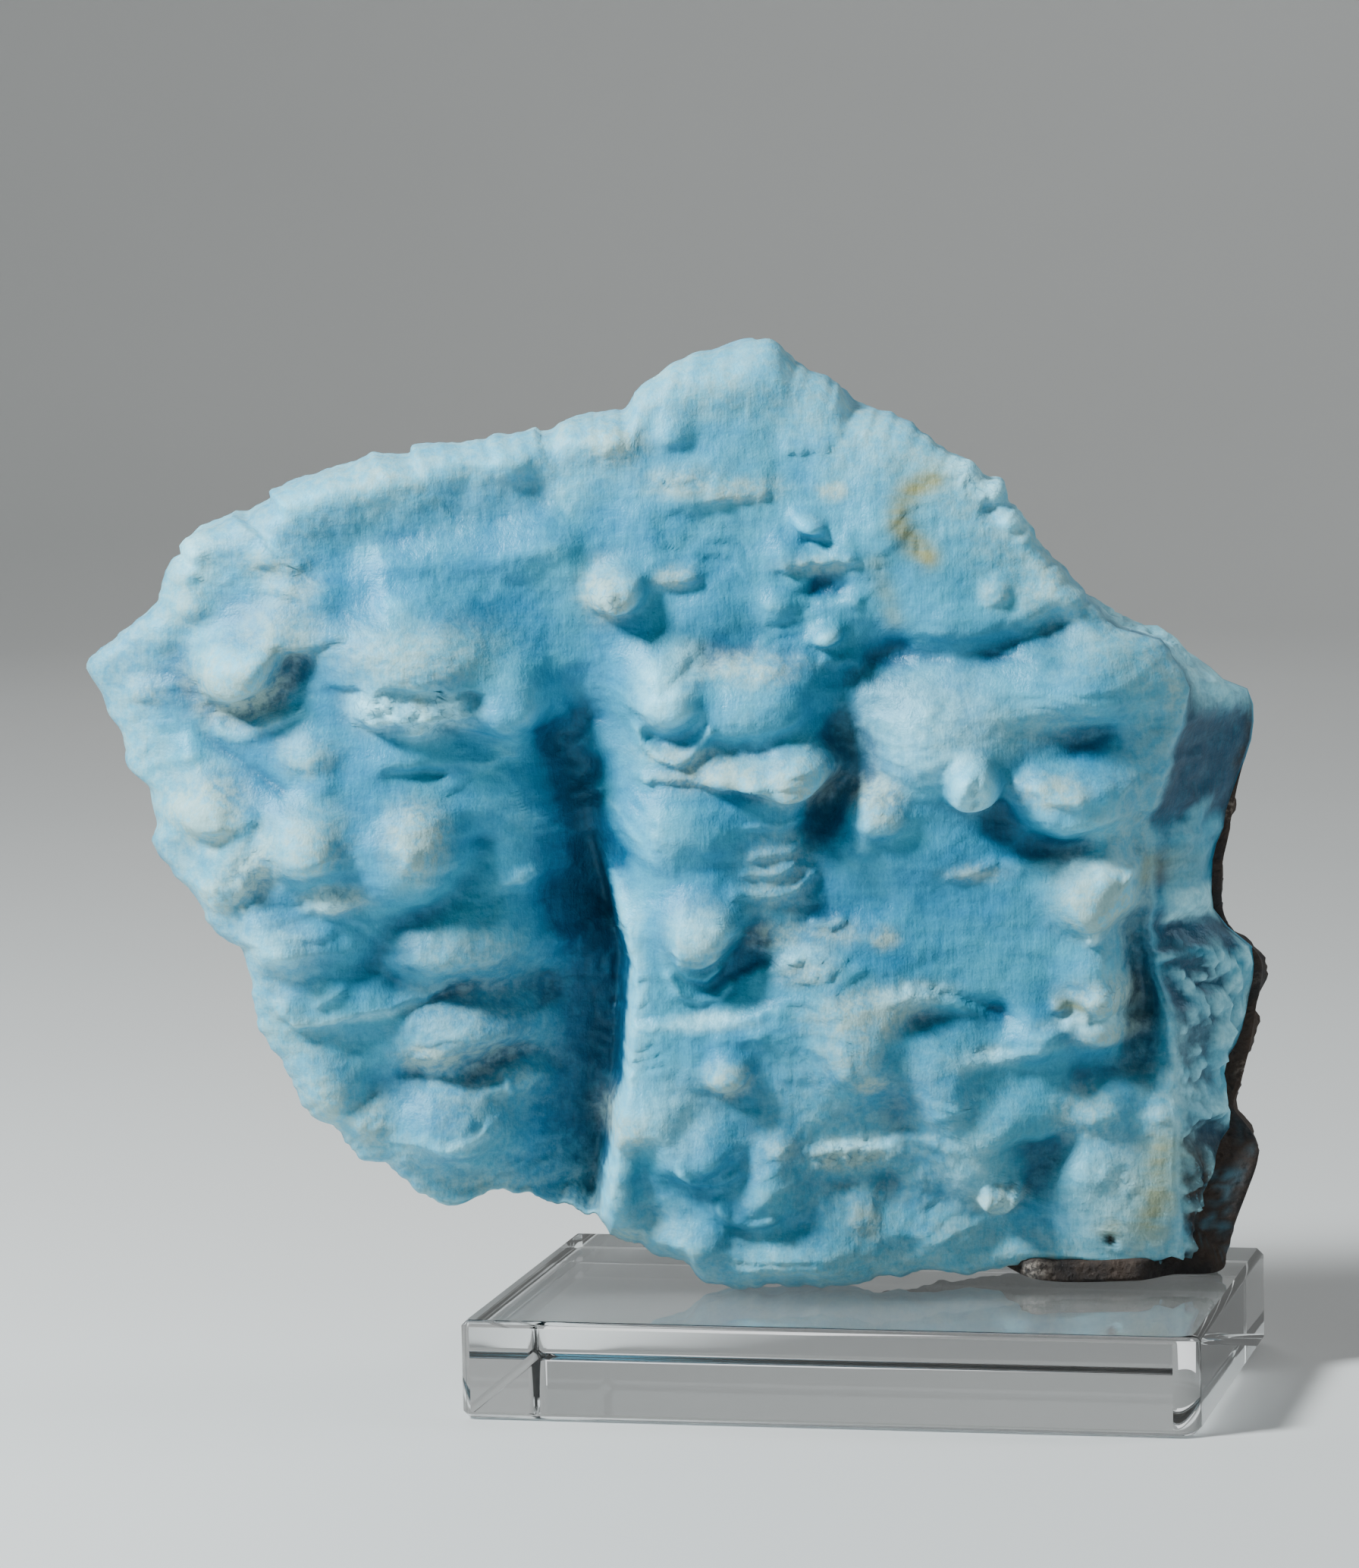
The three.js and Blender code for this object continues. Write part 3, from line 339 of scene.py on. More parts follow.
# Ledges that end sharply along a line read left to right: (points, rise, run, side), where side 1
# stands proud below the line and side -1 stands proud above it
LEDGES = [
    (CLEFT_WALL, 5, 22, -1),
    (CLEFT_WALL, -13, 22, 1),
    (((-104, 147.6), (-97, 149), (-90, 148.8), (-79, 147.6)), 1.6, 7, -1),
    (((-119.5, 80), (-116.5, 77.6), (-112, 77.3), (-104, 79.4), (-98, 80), (-92, 81.4), (-88, 83)),
     2.2, 7, -1),
    (((-88, 53.6), (-84, 53.3), (-80, 54.6), (-78, 56.6)), 1, 5, 1),
    (((-40, 187.2), (-33, 188)), 0.8, 3, -1),
    (((-29, 183.6), (-24, 183.3), (-19.6, 184)), 1.8, 4, -1),
    (((-14, 192), (-7, 192.5)), 1.2, 3, -1),
    (((-15, 169), (-9, 170.4), (-3, 170.4)), 2.4, 5, -1),
    (((-7.5, 149.8), (-1.5, 148.6)), 1.6, 3, -1),
    (((-8.4, 162), (-1.6, 163)), 1.2, 3, 1),
    (((-38, 148), (-34, 149.6), (-31, 149.2), (-28, 150.6), (-19, 151)), 2, 14, 1),
    (((-44, 127.4), (-36, 127.6), (-31, 126.6), (-23, 126)), 2.8, 5, -1),
    (((-46, 79), (-40, 79.2), (-35, 77.9), (-30, 78.4), (-23, 81)), 2, 12, 1),
    (((-31, 75.3), (-23, 76.6)), 1, 3, 1),
    (((-20.5, 88.8), (-16, 90.4), (-13.6, 91.8), (-10, 91), (-5, 89.5)), 2, 12, 1),
    (((-17, 86.8), (-12, 87.4), (-9, 88.8)), 1.2, 4, 1),
    (((-9.4, 84), (-7, 83.4), (-5.4, 82.2), (0, 83), (5, 83), (9, 83.6), (14, 81.8), (20, 79.4)),
     2.5, 15, 1),
    (((15, 72.4), (20, 70), (25.5, 69), (30, 70.6)), 1.8, 9, 1),
    (((-9, 51.6), (-5, 51.8), (0, 51.6), (3, 52.2), (6, 54.2), (10, 54.8), (13, 54)), 2.2, 10, 1),
    (((32, 109), (40, 108.6), (46, 107.6), (53, 107)), 1.8, 10, 1),
    (((36, 75), (39.6, 75.4), (41.6, 77), (44.4, 77), (46.6, 75), (55.6, 74.6)), 2.1, 9, 1),
    (((43, 81.6), (50.6, 82.6), (53, 84.6)), 1.6, 5, 1),
    (((-90.5, 66.6), (-85, 66)), 1, 2.5, -1),
    (((16, 187), (23, 186), (30, 181)), 1.2, 4, -1),
    (((-94, 137.4), (-88, 138.8), (-79, 138.3)), 1.2, 4, -1),
    (((-82, 131), (-75, 130.6), (-70, 132)), 1.1, 3, -1),
    (((-96.6, 120.8), (-92, 122.4), (-87.6, 121.6)), 1.2, 3, 1),
    (((13.6, 59), (19, 61)), 0.9, 3, -1),
    (((-60, 108), (-73, 105)), 0.9, 3, 1),
    (((-121, 158), (-114, 155), (-107, 158)), 1.3, 4, -1),
]

# Tints: (across, up, half width, half height, turn, strength)
CREAM_PATCHES = [
    (-127, 148, 10, 9, 0, 0.9), (-134.5, 122.5, 8, 8, 0, 1.0), (-127, 109, 13, 6, 53, 0.8),
    (-118, 158, 9, 7, 0, 0.6), (-147, 146, 5, 4, 0, 0.5), (-138, 165, 6, 9, 0, 0.4),
    (-120, 172, 6, 4, 0, 0.6), (-92, 155, 16, 6, 0, 0.5), (-91, 117, 6, 6.5, 0, 1.0),
    (-113, 117, 8, 7, 0, 0.55), (-108, 104, 6, 3, 0, 0.9), (-116, 168, 6, 5, 0, 0.5),
    (-113, 133, 6, 4, 0, 0.4), (-81, 92, 12, 6, 0, 0.35), (-89, 70, 7, 3.4, 0, 1.0),
    (-79, 71.5, 6, 2.6, 0, 0.6), (-102, 56, 5, 6, 0, 0.6), (-112, 60, 8, 10, 0, 0.5),
    (-71, 65, 6, 4, 0, 0.35), (-52, 165, 5, 5.5, 0, 1.0), (-38, 168, 4, 2.5, 0, 0.7),
    (-50, 195, 7, 5, 0, 0.8), (-36, 187, 8, 3, 0, 0.6), (-24, 185, 8, 2.6, 0, 0.7),
    (-9, 169.5, 7, 2.2, 0, 0.55), (-5.5, 184.5, 3, 2, 0, 0.8), (-100, 190, 26, 5, 10, 0.45),
    (-23, 150, 11, 2.6, 0, 0.6), (-38, 132.6, 8, 1.8, 0, 0.6), (-30, 129, 12, 3.2, 0, 0.8),
    (-14, 127, 8, 6, 0, 0.75), (-34, 97, 6, 7, 0, 0.45), (-18, 107, 7, 9, 0, 0.45),
    (-18, 94.5, 7, 3, 0, 0.5), (-7, 94.6, 6, 2.6, 0, 0.5), (3.4, 93.6, 3, 2.2, 0, 0.7),
    (-28.8, 66.4, 4.6, 4.2, 0, 1.0), (-50, 57, 6, 5, 0, 0.55), (-12, 88, 6, 2.6, 0, 0.6),
    (0, 80, 12, 4.6, 0, 0.85), (-4, 73, 7, 6, 0, 0.5), (0, 66.6, 4, 3, 0, 0.8),
    (-4, 49.4, 9, 3.8, 0, 1.0), (-18, 52, 4, 3, 0, 0.5), (26.4, 39.6, 4.6, 4, 0, 1.0),
    (22, 40, 3, 3.4, 0, 0.8), (-1, 36, 4, 6, 0, 0.7), (16, 33, 8, 4, 0, 0.35), (3, 122, 5, 5, 0, 0.8),
    (38, 124.4, 7, 3, 0, 0.85), (36, 137, 12, 5, 0, 0.3), (63, 142, 4, 8, 0, 0.45),
    (48, 101.5, 9, 8, 0, 0.85), (22, 106.4, 6, 2, 0, 0.5), (48, 80, 8, 5, 0, 0.9),
    (49, 73, 8, 3, 0, 0.7), (44, 56, 8, 6, 0, 0.45), (55, 36, 10, 14, 0, 0.6), (60, 46, 4, 14, 0, 0.6),
    (49, 32, 4, 4, 0, 0.9), (27, 163.5, 3.4, 2.6, 0, 0.5), (38, 167, 5, 9, -30, 0.55),
    (-14, 24, 18, 3, 0, 0.35), (32, 24.5, 7, 1.8, 10, 0.7), (-50, 32, 6, 3, -20, 0.6),
    (-76, 42, 14, 3, 0, 0.5), (-79, 72, 16, 24, 0, 0.3), (2, 50, 30, 22, 0, 0.25),
]
WHITE_PATCHES = [
    (-108.5, 104, 5, 2.4, 15, 0.8), (-128, 110, 10, 3, 53, 0.35), (-98, 143.6, 6.4, 5.4, 0, 1.0),
    (-88, 142.6, 8.4, 5.8, 0, 1.0), (22, 125.6, 4.2, 5.8, 0, 0.9), (-41, 146, 5, 7, 0, 0.55),
    (15, 137, 15, 10, 0, 0.6), (24, 187, 8, 4, -35, 0.9), (31.5, 178, 2.6, 2.2, 0, 0.8),
    (-34, 99.4, 6, 4, 0, 0.5), (-119, 94.6, 7, 5, 0, 0.5), (10, 82.6, 7, 2, 0, 0.7),
    (24, 69.4, 7, 1.8, 0, 0.8), (45, 75.6, 10, 1.6, 0, 0.7), (-33, 78.4, 9, 1.4, 0, 0.8),
    (-3, 51.9, 9, 1.4, 0, 0.7), (49, 38, 10, 13, 0, 0.6), (-40, 60, 7, 8, 0, 0.45),
    (20, 46, 5, 10, 0, 0.45), (45.8, 93.3, 1.6, 1.6, 0, 1.0), (-136, 174, 4, 3.4, 0, 0.7),
    (44, 108, 9, 1.6, 0, 0.6), (-36, 152, 5, 3, 0, 0.7), (-13, 91, 6, 1.6, 0, 0.5),
    (62.8, 50, 1.0, 26, 0, 0.6), (-83, 53.6, 6, 1.2, 5, 0.6), (-104, 79, 12, 1.2, 6, 0.5),
    (27, 39, 3.6, 3, 0, 0.5),
]
# Painted shade and shadows: dark patches in the cleft and hollows, and the shadow cast beside the nub on
# the right
SHADE_PATCHES = [
    (-58.5, 132, 8, 10, 0, 0.7), (-60, 112, 9, 18, 0, 1.0), (-54, 78, 6, 40, 0, 0.9),
    (-3, 131, 8, 22, 0, 0.6), (20, 152, 26, 4, 3, 0.45), (27.5, 117, 4, 5.4, 0, 1.0),
    (37, 111, 8, 3, 0, 0.45), (-80, 84.5, 18, 3.4, 0, 0.45), (-74, 74, 17, 28, 0, 0.4),
    (-95, 92, 14, 7, 20, 0.45), (-24, 92, 8, 8, 0, 0.54), (-8, 99, 10, 4, 0, 0.54),
    (-95, 62, 10, 5, 0, 0.2), (34, 45, 7, 10, 0, 0.1), (57.5, 79, 5.4, 18, 0, 1.0),
    (46, 64, 9, 3, 0, 0.45), (2, 43, 8, 4, 0, 0.2), (6, 63, 4, 9, 0, 0.25), (-28, 33, 5, 6, 0, 0.25),
    (-84, 179, 24, 5, 8, 0.36), (-78, 161, 7, 3, 0, 0.54), (-26, 60, 8, 5, 0, 0.2),
    (2, 146, 14, 9, -30, 0.6), (26, 152.5, 24, 5, 5, 0.55), (-83, 66, 14, 3, 0, 0.45),
    (-70, 100, 6, 10, 0, 0.2), (-120, 103, 7, 4, -35, 0.2), (22, 76, 7, 2.6, 0, 0.2),
    (-7, 165, 6, 3, 0, 0.45),
]
DARK_PITS = [
    (49, 29.5, 0.9, 1.3, 0, 1.0),
]

# Ochre stains: (points, width, strength)
STAINS = [
    (((15, 186.4), (11, 184.4), (8, 181.8), (7.8, 178), (10, 174.5), (13.4, 171)), 2.7, 0.95),
    (((3, 170), (5, 163), (6.4, 158)), 2.2, 0.35),
    (((60, 47), (59, 41), (57, 33)), 4.4, 0.8),
    (((61, 44), (61.5, 36)), 2.2, 0.6),
    (((49.6, 33), (49, 31)), 1.6, 0.6),
    (((38.8, 79.4), (43, 78.8)), 1.2, 0.8),
    (((-88, 143), (-90, 146)), 1.0, 0.5),
    (((58, 108), (57, 103)), 1.4, 0.5),
]

# Crumbled, broken places on the skin: (across, up, half width, half height, turn, strength)
CRUMBLED_PATCHES = [
    (-98, 143.6, 6, 5.2, 0, 1.0), (-88, 142.6, 8, 5.6, 0, 1.0), (-52, 165, 4.6, 5, 0, 0.9),
    (-91, 117, 5.4, 6, 0, 0.5), (-127, 109, 13, 5, 53, 0.6), (24, 187, 9, 4, -35, 0.8),
    (3, 122, 5, 4, 0, 0.6), (-108, 104.6, 5, 2.4, 0, 0.7), (-5, 49.6, 9, 3.6, 0, 0.9),
    (26.4, 39.6, 4.6, 4, 0, 0.8), (10, 82.6, 8, 2, 0, 0.6), (49, 82, 6, 3, 0, 0.7),
    (-36, 152, 6, 3, 0, 0.6), (-13, 89, 6, 3, 0, 0.6), (52, 42, 9, 3, -20, 0.6),
    (-34, 187.6, 8, 2, 0, 0.6), (-50, 195, 6, 4, 0, 0.4), (22, 125.4, 3.8, 5.2, 0, 0.35),
    (49, 31.6, 3, 3, 0, 0.6), (-116, 169, 7, 5, 0, 0.4), (-92, 155, 15, 5, 0, 0.3),
    (24, 70, 7, 1.8, 0, 0.6), (-89, 70, 6, 3, 0, 0.4), (-135, 172, 6, 6, 0, 0.4),
]

# Lumps and hollows of the broken right side: (up, depth, half height, half depth, rise), where depth runs
# from 0 at the front ridge to 1 at the rock
SIDE_LUMPS = [
    (141, 0.62, 2.6, 0.4, 2.2), (136, 0.8, 2, 0.3, 1.8), (144, 0.3, 6, 0.3, -1.2),
    (126, 0.5, 8, 0.5, -2.0), (109, 0.6, 9, 0.6, 3.0), (98, 0.5, 4, 0.6, 3.4), (92, 0.4, 3, 0.5, -1.6),
    (87, 0.3, 2, 0.3, 1.6), (83, 0.8, 4, 0.3, 2.4), (77, 0.55, 3, 0.35, 1.8), (71, 0.8, 3.4, 0.3, 2.2),
    (66, 0.7, 3, 0.3, 1.8), (60, 0.8, 2.2, 0.2, 2.4), (56, 0.6, 3, 0.35, 1.8),
    (50, 0.5, 3.4, 0.4, -2.6), (46.6, 0.3, 1.4, 0.14, 1.4), (44, 0.36, 1.3, 0.14, 1.2),
    (80, 0.3, 6, 0.4, -1.4),
]

# The broken right side: where it begins across, and the heights of its bands
SIDE_BEGINS = (44, 56)
SNOWY_ABOVE = (135, 142)
SMOOTH_ABOVE = (113, 118)
STEPPED_MIDDLE = 107
WEDGE_MIDDLE = 97
BEADED_BELOW = (95, 86)
ROCKY_BELOW = (54, 42)

# The clear block's round corners and edges
CORNER_STEPS = 14
SHARP_EDGE_DEG = 30
FLAT_FACE_SHARE = 0.3

# The studio, in metres. The floor lies a little below the block, so that the clear underside has air
# under it.
FLOOR_LEVEL = -0.0004
FLOOR_RADIUS = 1.7
FLOOR_CURVE = 1.0
FLOOR_CURVE_STEPS = 30
FLOOR_SIDES = 96
WALL_TOP = 2.4
STONE_MIDDLE = (-0.03, 0.0, 0.11)
RIGHT_SIDE_MIDDLE = (0.07, 0.0, 0.14)
BACKDROP_MIDDLE = (0.3, 2.6, 0.7)
ROOM_TINT = (0.86, 0.92, 1.0, 1.0)
ROOM_STRENGTH = 0.02

# Soft lights: (name, place, target, width and height, watts, tint)
LIGHTS = [
    ("key_light", (-0.7, -0.56, 0.88), STONE_MIDDLE, (0.24, 0.24), 35.0, (0.91, 0.98, 1.0)),
    ("fill_light", (0.75, -1.15, 0.45), STONE_MIDDLE, (1.0, 0.8), 0.2, (0.93, 0.97, 1.0)),
    ("top_light", (0.1, 0.25, 1.05), STONE_MIDDLE, (0.9, 0.6), 1.0, (0.97, 0.985, 1.0)),
    ("back_light", (-0.7, 1.3, 0.9), STONE_MIDDLE, (0.9, 0.9), 2.5, (0.97, 0.985, 1.0)),
    ("rim_light", (0.85, 0.3, 0.75), RIGHT_SIDE_MIDDLE, (0.3, 0.3), 3.4, (0.94, 0.98, 1.0)),
    ("wall_light", (0.3, 1.5, 1.7), BACKDROP_MIDDLE, (1.2, 0.6), 7.0, (1.0, 1.0, 1.0)),
]

# The camera, which stands where the photograph was taken from
CAMERA_TURN_DEG = 12.57
CAMERA_HEIGHT_DEG = 6.5
CAMERA_ROLL_DEG = -1.06
CAMERA_DISTANCE = 1.411
CAMERA_SIDE = -0.0399
CAMERA_RISE = 0.1228
CAMERA_LENS_MM = 156.75
SENSOR_MM = 36.0


# Numbers and curves

def smooth_step(low, high, value):
    t = np.clip((value - low) / (high - low), 0.0, 1.0)
    return t * t * (3 - 2 * t)


def lerp(a, b, share):
    return a + (b - a) * share


class Lattice:
    """Smooth repeatable noise: random values on a lattice, blended between its points."""

    SIZE = 64
    LAYER_SCALE = 2.03
    LAYER_SHIFT = (7.3, -3.1)

    def __init__(self, seed):
        self.values = np.random.default_rng(seed).random((self.SIZE,) * 3) * 2 - 1

    def at(self, x, y, z=0.0):
        place = np.broadcast_arrays(*(np.asarray(c, float) for c in (x, y, z)))
        corner = [np.floor(c).astype(int) for c in place]
        share = [smooth_step(0, 1, c - low) for c, low in zip(place, corner)]
        total = np.zeros(place[0].shape)
        for step in itertools.product((0, 1), repeat=3):
            weight = math.prod(s if far else 1 - s for s, far in zip(share, step))
            total += weight * self.values[tuple((c + far) % self.SIZE for c, far in zip(corner, step))]
        return total

    def layered(self, x, y, z=0.0, layers=3, gain=0.5):
        total = 0.0
        size = 1.0
        shift_x, shift_y = self.LAYER_SHIFT
        for layer in range(layers):
            step = self.LAYER_SCALE ** layer
            total = total + size * self.at(x * step + shift_x * layer, y * step + shift_y * layer, z * step)
            size *= gain
        return total


def pebbles(x, y, z, seed):
    """Distance to the nearest of a jittered lattice of points: 0 at a pebble's middle, near 1 between."""
    jitter = np.random.default_rng(seed).random((PEBBLE_CELLS,) * 3 + (3,))
    place = np.broadcast_arrays(x, y, z)
    cell = [np.floor(c).astype(int) for c in place]
    nearest = np.full(place[0].shape, np.inf)
    for step in itertools.product((-1, 0, 1), repeat=3):
        home = [c + d for c, d in zip(cell, step)]
        spot = jitter[tuple(c % PEBBLE_CELLS for c in home)]
        away = sum((home[k] + spot[..., k] - place[k]) ** 2 for k in range(3))
        nearest = np.minimum(nearest, away)
    return np.sqrt(nearest)


COARSE = Lattice(seed=11)
FINE = Lattice(seed=23)


def edge_radius(points, middle):
    """Distance from the middle to a closed edge, as a function of direction."""
    ring = np.array(points, float)
    samples = []
    shares = np.linspace(0, 1, CURVE_STEPS, endpoint=False)
    for k in range(len(ring)):
        p0, p1, p2, p3 = (ring[(k + step) % len(ring)] for step in (-1, 0, 1, 2))
        for t in shares:
            samples.append(0.5 * (2 * p1 + (p2 - p0) * t + (2 * p0 - 5 * p1 + 4 * p2 - p3) * t ** 2
                                  + (3 * p1 - p0 - 3 * p2 + p3) * t ** 3))
    samples = np.array(samples) - middle
    angles = np.arctan2(samples[:, 1], samples[:, 0])
    order = np.argsort(angles)
    radii = np.hypot(samples[:, 0], samples[:, 1])
    return lambda angle: np.interp(angle, angles[order], radii[order], period=2 * math.pi)


def near_line(points, across, up):
    """Distance to a line of points, signed side (positive below) and how far past its ends."""
    distance = np.full(across.shape, 1e9)
    side = np.zeros(across.shape)
    past = np.zeros(across.shape)
    for k in range(len(points) - 1):
        (x0, y0), (x1, y1) = points[k], points[k + 1]
        length = math.hypot(x1 - x0, y1 - y0)
        dx, dy = (x1 - x0) / length, (y1 - y0) / length
        along = (across - x0) * dx + (up - y0) * dy
        held = np.clip(along, 0, length)
        here = np.hypot(across - x0 - held * dx, up - y0 - held * dy)
        nearer = here < distance
        distance = np.where(nearer, here, distance)
        side = np.where(nearer, (across - x0) * dy - (up - y0) * dx, side)
        is_end = ((along < 0) & (k == 0)) | ((along > length) & (k == len(points) - 2))
        past = np.where(nearer, np.where(is_end, np.abs(along - held), 0.0), past)
    return distance, side, past


def oval(across, up, spot):
    """Squared distance from a turned oval's middle, 1 at its edge."""
    middle_across, middle_up, half_width, half_height, turn = spot[:5]
    cosine, sine = math.cos(math.radians(turn)), math.sin(math.radians(turn))
    dx, dy = across - middle_across, up - middle_up
    along = (dx * cosine + dy * sine) / half_width
    beside = (dy * cosine - dx * sine) / half_height
    return along ** 2 + beside ** 2


def painted(across, up, patches):
    """Strength of a tint from soft-edged ovals."""
    total = np.zeros(across.shape)
    for patch in patches:
        total = np.maximum(total, patch[-1] * np.exp(-(oval(across, up, patch) ** 1.4)))
    return total


def blurred(field, reach):
    """A net of values with each replaced by a weighted mean of its neighbours within reach cells."""
    spread = 2 * reach
    steps = np.arange(-spread, spread + 1)
    weights = np.exp(-(steps / reach) ** 2)
    weights /= weights.sum()
    for axis in (0, 1):
        margins = [(spread, spread) if a == axis else (0, 0) for a in (0, 1)]
        padded = np.pad(field, margins, mode="edge")
        total = np.zeros(field.shape)
        for k, weight in enumerate(weights):
            window = [slice(None), slice(None)]
            window[axis] = slice(k, k + field.shape[axis])
            total += weight * padded[tuple(window)]
        field = total
    return field


# The stone's shape

def broad_level(across, up):
    level = np.full(across.shape, float(FACE_LEVEL))
    for swell in SWELLS:
        level += swell[-1] * np.exp(-oval(across, up, swell))
    return level


def lump_rise(across, up, lump):
    """Rise of one lump, which hangs: it falls away faster below its middle than above."""
    middle_up, rise, softness = lump[1], lump[5], lump[6]
    stretch = np.where(up > middle_up, 1.15, 0.85)
    away = oval(across, middle_up + (up - middle_up) / stretch, lump)
    return rise * np.exp(-1.6 * away ** (1.2 / softness))


def bend(across, up, plane):
    """Small smooth shift, in millimetres, that keeps the drawn forms from looking ruled."""
    return 1.9 * COARSE.at(across / 13, up / 13, plane) + 0.8 * FINE.at(across / 5, up / 5, plane)


def fine_relief(across, up):
    """Everything that stands out of the broad face or is sunk in it."""
    bent_across = across + bend(across, up, 3.5)
    bent_up = up + bend(across, up, 9.5)
    less_across = lerp(across, bent_across, SMALL_LUMP_BEND)
    less_up = lerp(up, bent_up, SMALL_LUMP_BEND)
    relief = np.zeros(across.shape)
    for lump in LUMPS:
        if min(lump[2], lump[3]) < SMALL_LUMP:
            relief += lump_rise(less_across, less_up, lump)
        else:
            relief += lump_rise(bent_across, bent_up, lump)
    uneven = 1 + 0.4 * COARSE.at(across / 8, up / 8, z=14.5)
    for points, width, rise in FURROWS:
        thin = width < THIN_LINE
        distance, _, _ = near_line(points, across if thin else bent_across, up if thin else bent_up)
        relief += rise * uneven * np.exp(-(distance / width) ** 2)
    ragged = 0.5 * FINE.at(across / 1.7, up / 1.7, z=5.0)
    for points, rise, run, side in LEDGES:
        _, which, past = near_line(points, across, up)
        proud = which * side + ragged
        softness = 0.7 + 0.1 * abs(rise)
        step = smooth_step(-softness, softness, proud) * np.exp(-np.maximum(proud, 0) / run)
        relief += rise * np.exp(-(2 * past / run) ** 2) * step
    return relief


def skin_texture(across, up, crumbled):
    """Small unevenness of the grown skin, and the rubble of its broken places."""
    rolls = 0.95 * COARSE.layered(across / 14, up / 11, z=1.5, layers=3, gain=0.33)
    knobbly = smooth_step(-0.1, 0.7, COARSE.at(across / 19, up / 19, z=6.6))
    knobs = 1.1 * knobbly * np.clip(0.8 - pebbles(across / 7.5, up / 6.5, 0.0, seed=31), 0, 1)
    draped = smooth_step(0.0, 0.5, COARSE.at(across / 16, up / 12, z=12.3))
    fold = up / 4.4 + 1.5 * COARSE.layered(across / 13, up / 15, z=6.1, layers=2)
    below = fold - np.floor(fold)
    folds = 0.5 * draped * (1 - below) ** 1.4 * smooth_step(0, 0.16, below)
    frills = 0.12 * FINE.layered(across / 9, up / 2.2 + 0.25 * across / 9, z=4.0, layers=2)
    grain = 0.13 * FINE.at(across / 1.3, up / 1.3, z=2.0)
    crumbs = 0.55 - pebbles(across / 2.3, up / 1.9, 0.0, seed=5)
    rubble = 1.5 * crumbs + 0.5 * FINE.at(across / 0.9, up / 0.9, z=6.0)
    return rolls + knobs + folds + frills + grain + crumbled * rubble


def edge_rounding(across, up):
    crown = smooth_step(150, 185, up) * (1 - smooth_step(0, 30, across))
    broken_side = smooth_step(30, 50, across)
    return 4 + 4 * crown - 2.8 * broken_side


def crust_back_level(across, up):
    bare = smooth_step(148, 172, up)
    thin_skin = smooth_step(20, 44, across) * (1 - smooth_step(38, 62, up))
    level = lerp(CRUST_BACK_LEVEL, CRUST_BACK_TOP_LEVEL, bare)
    return lerp(level, THIN_SKIN_LEVEL, thin_skin)


def unevenness(across, up):
    return (np.sin(across * 0.17 + up * 0.09) + 0.7 * np.sin(up * 0.21 - across * 0.07)
            + 0.4 * np.sin(across * 0.33 + 2))


def on_edge_net(x, y, middle, radius_at):
    """Places of a square net drawn out to a closed edge, and how far inside the edge each one lies."""
    reach = np.maximum(np.abs(x), np.abs(y))
    angle = np.arctan2(y, x)
    radius = radius_at(angle)
    across = middle[0] + reach * radius * np.cos(angle)
    up = middle[1] + reach * radius * np.sin(angle)
    return across, up, (1 - reach) * radius


def between(near_rim, far_rim, depth):
    return {key: lerp(near_rim[key], far_rim[key], depth) for key in near_rim}


def pushed(place, x, y, bulge):
    """A wall's places, moved outward from the middle by bulge."""
    angle = np.arctan2(y, x)
    across = place["across"] + bulge * np.cos(angle)
    up = place["up"] + bulge * np.sin(angle)
    return {**place, "across": across, "up": up}


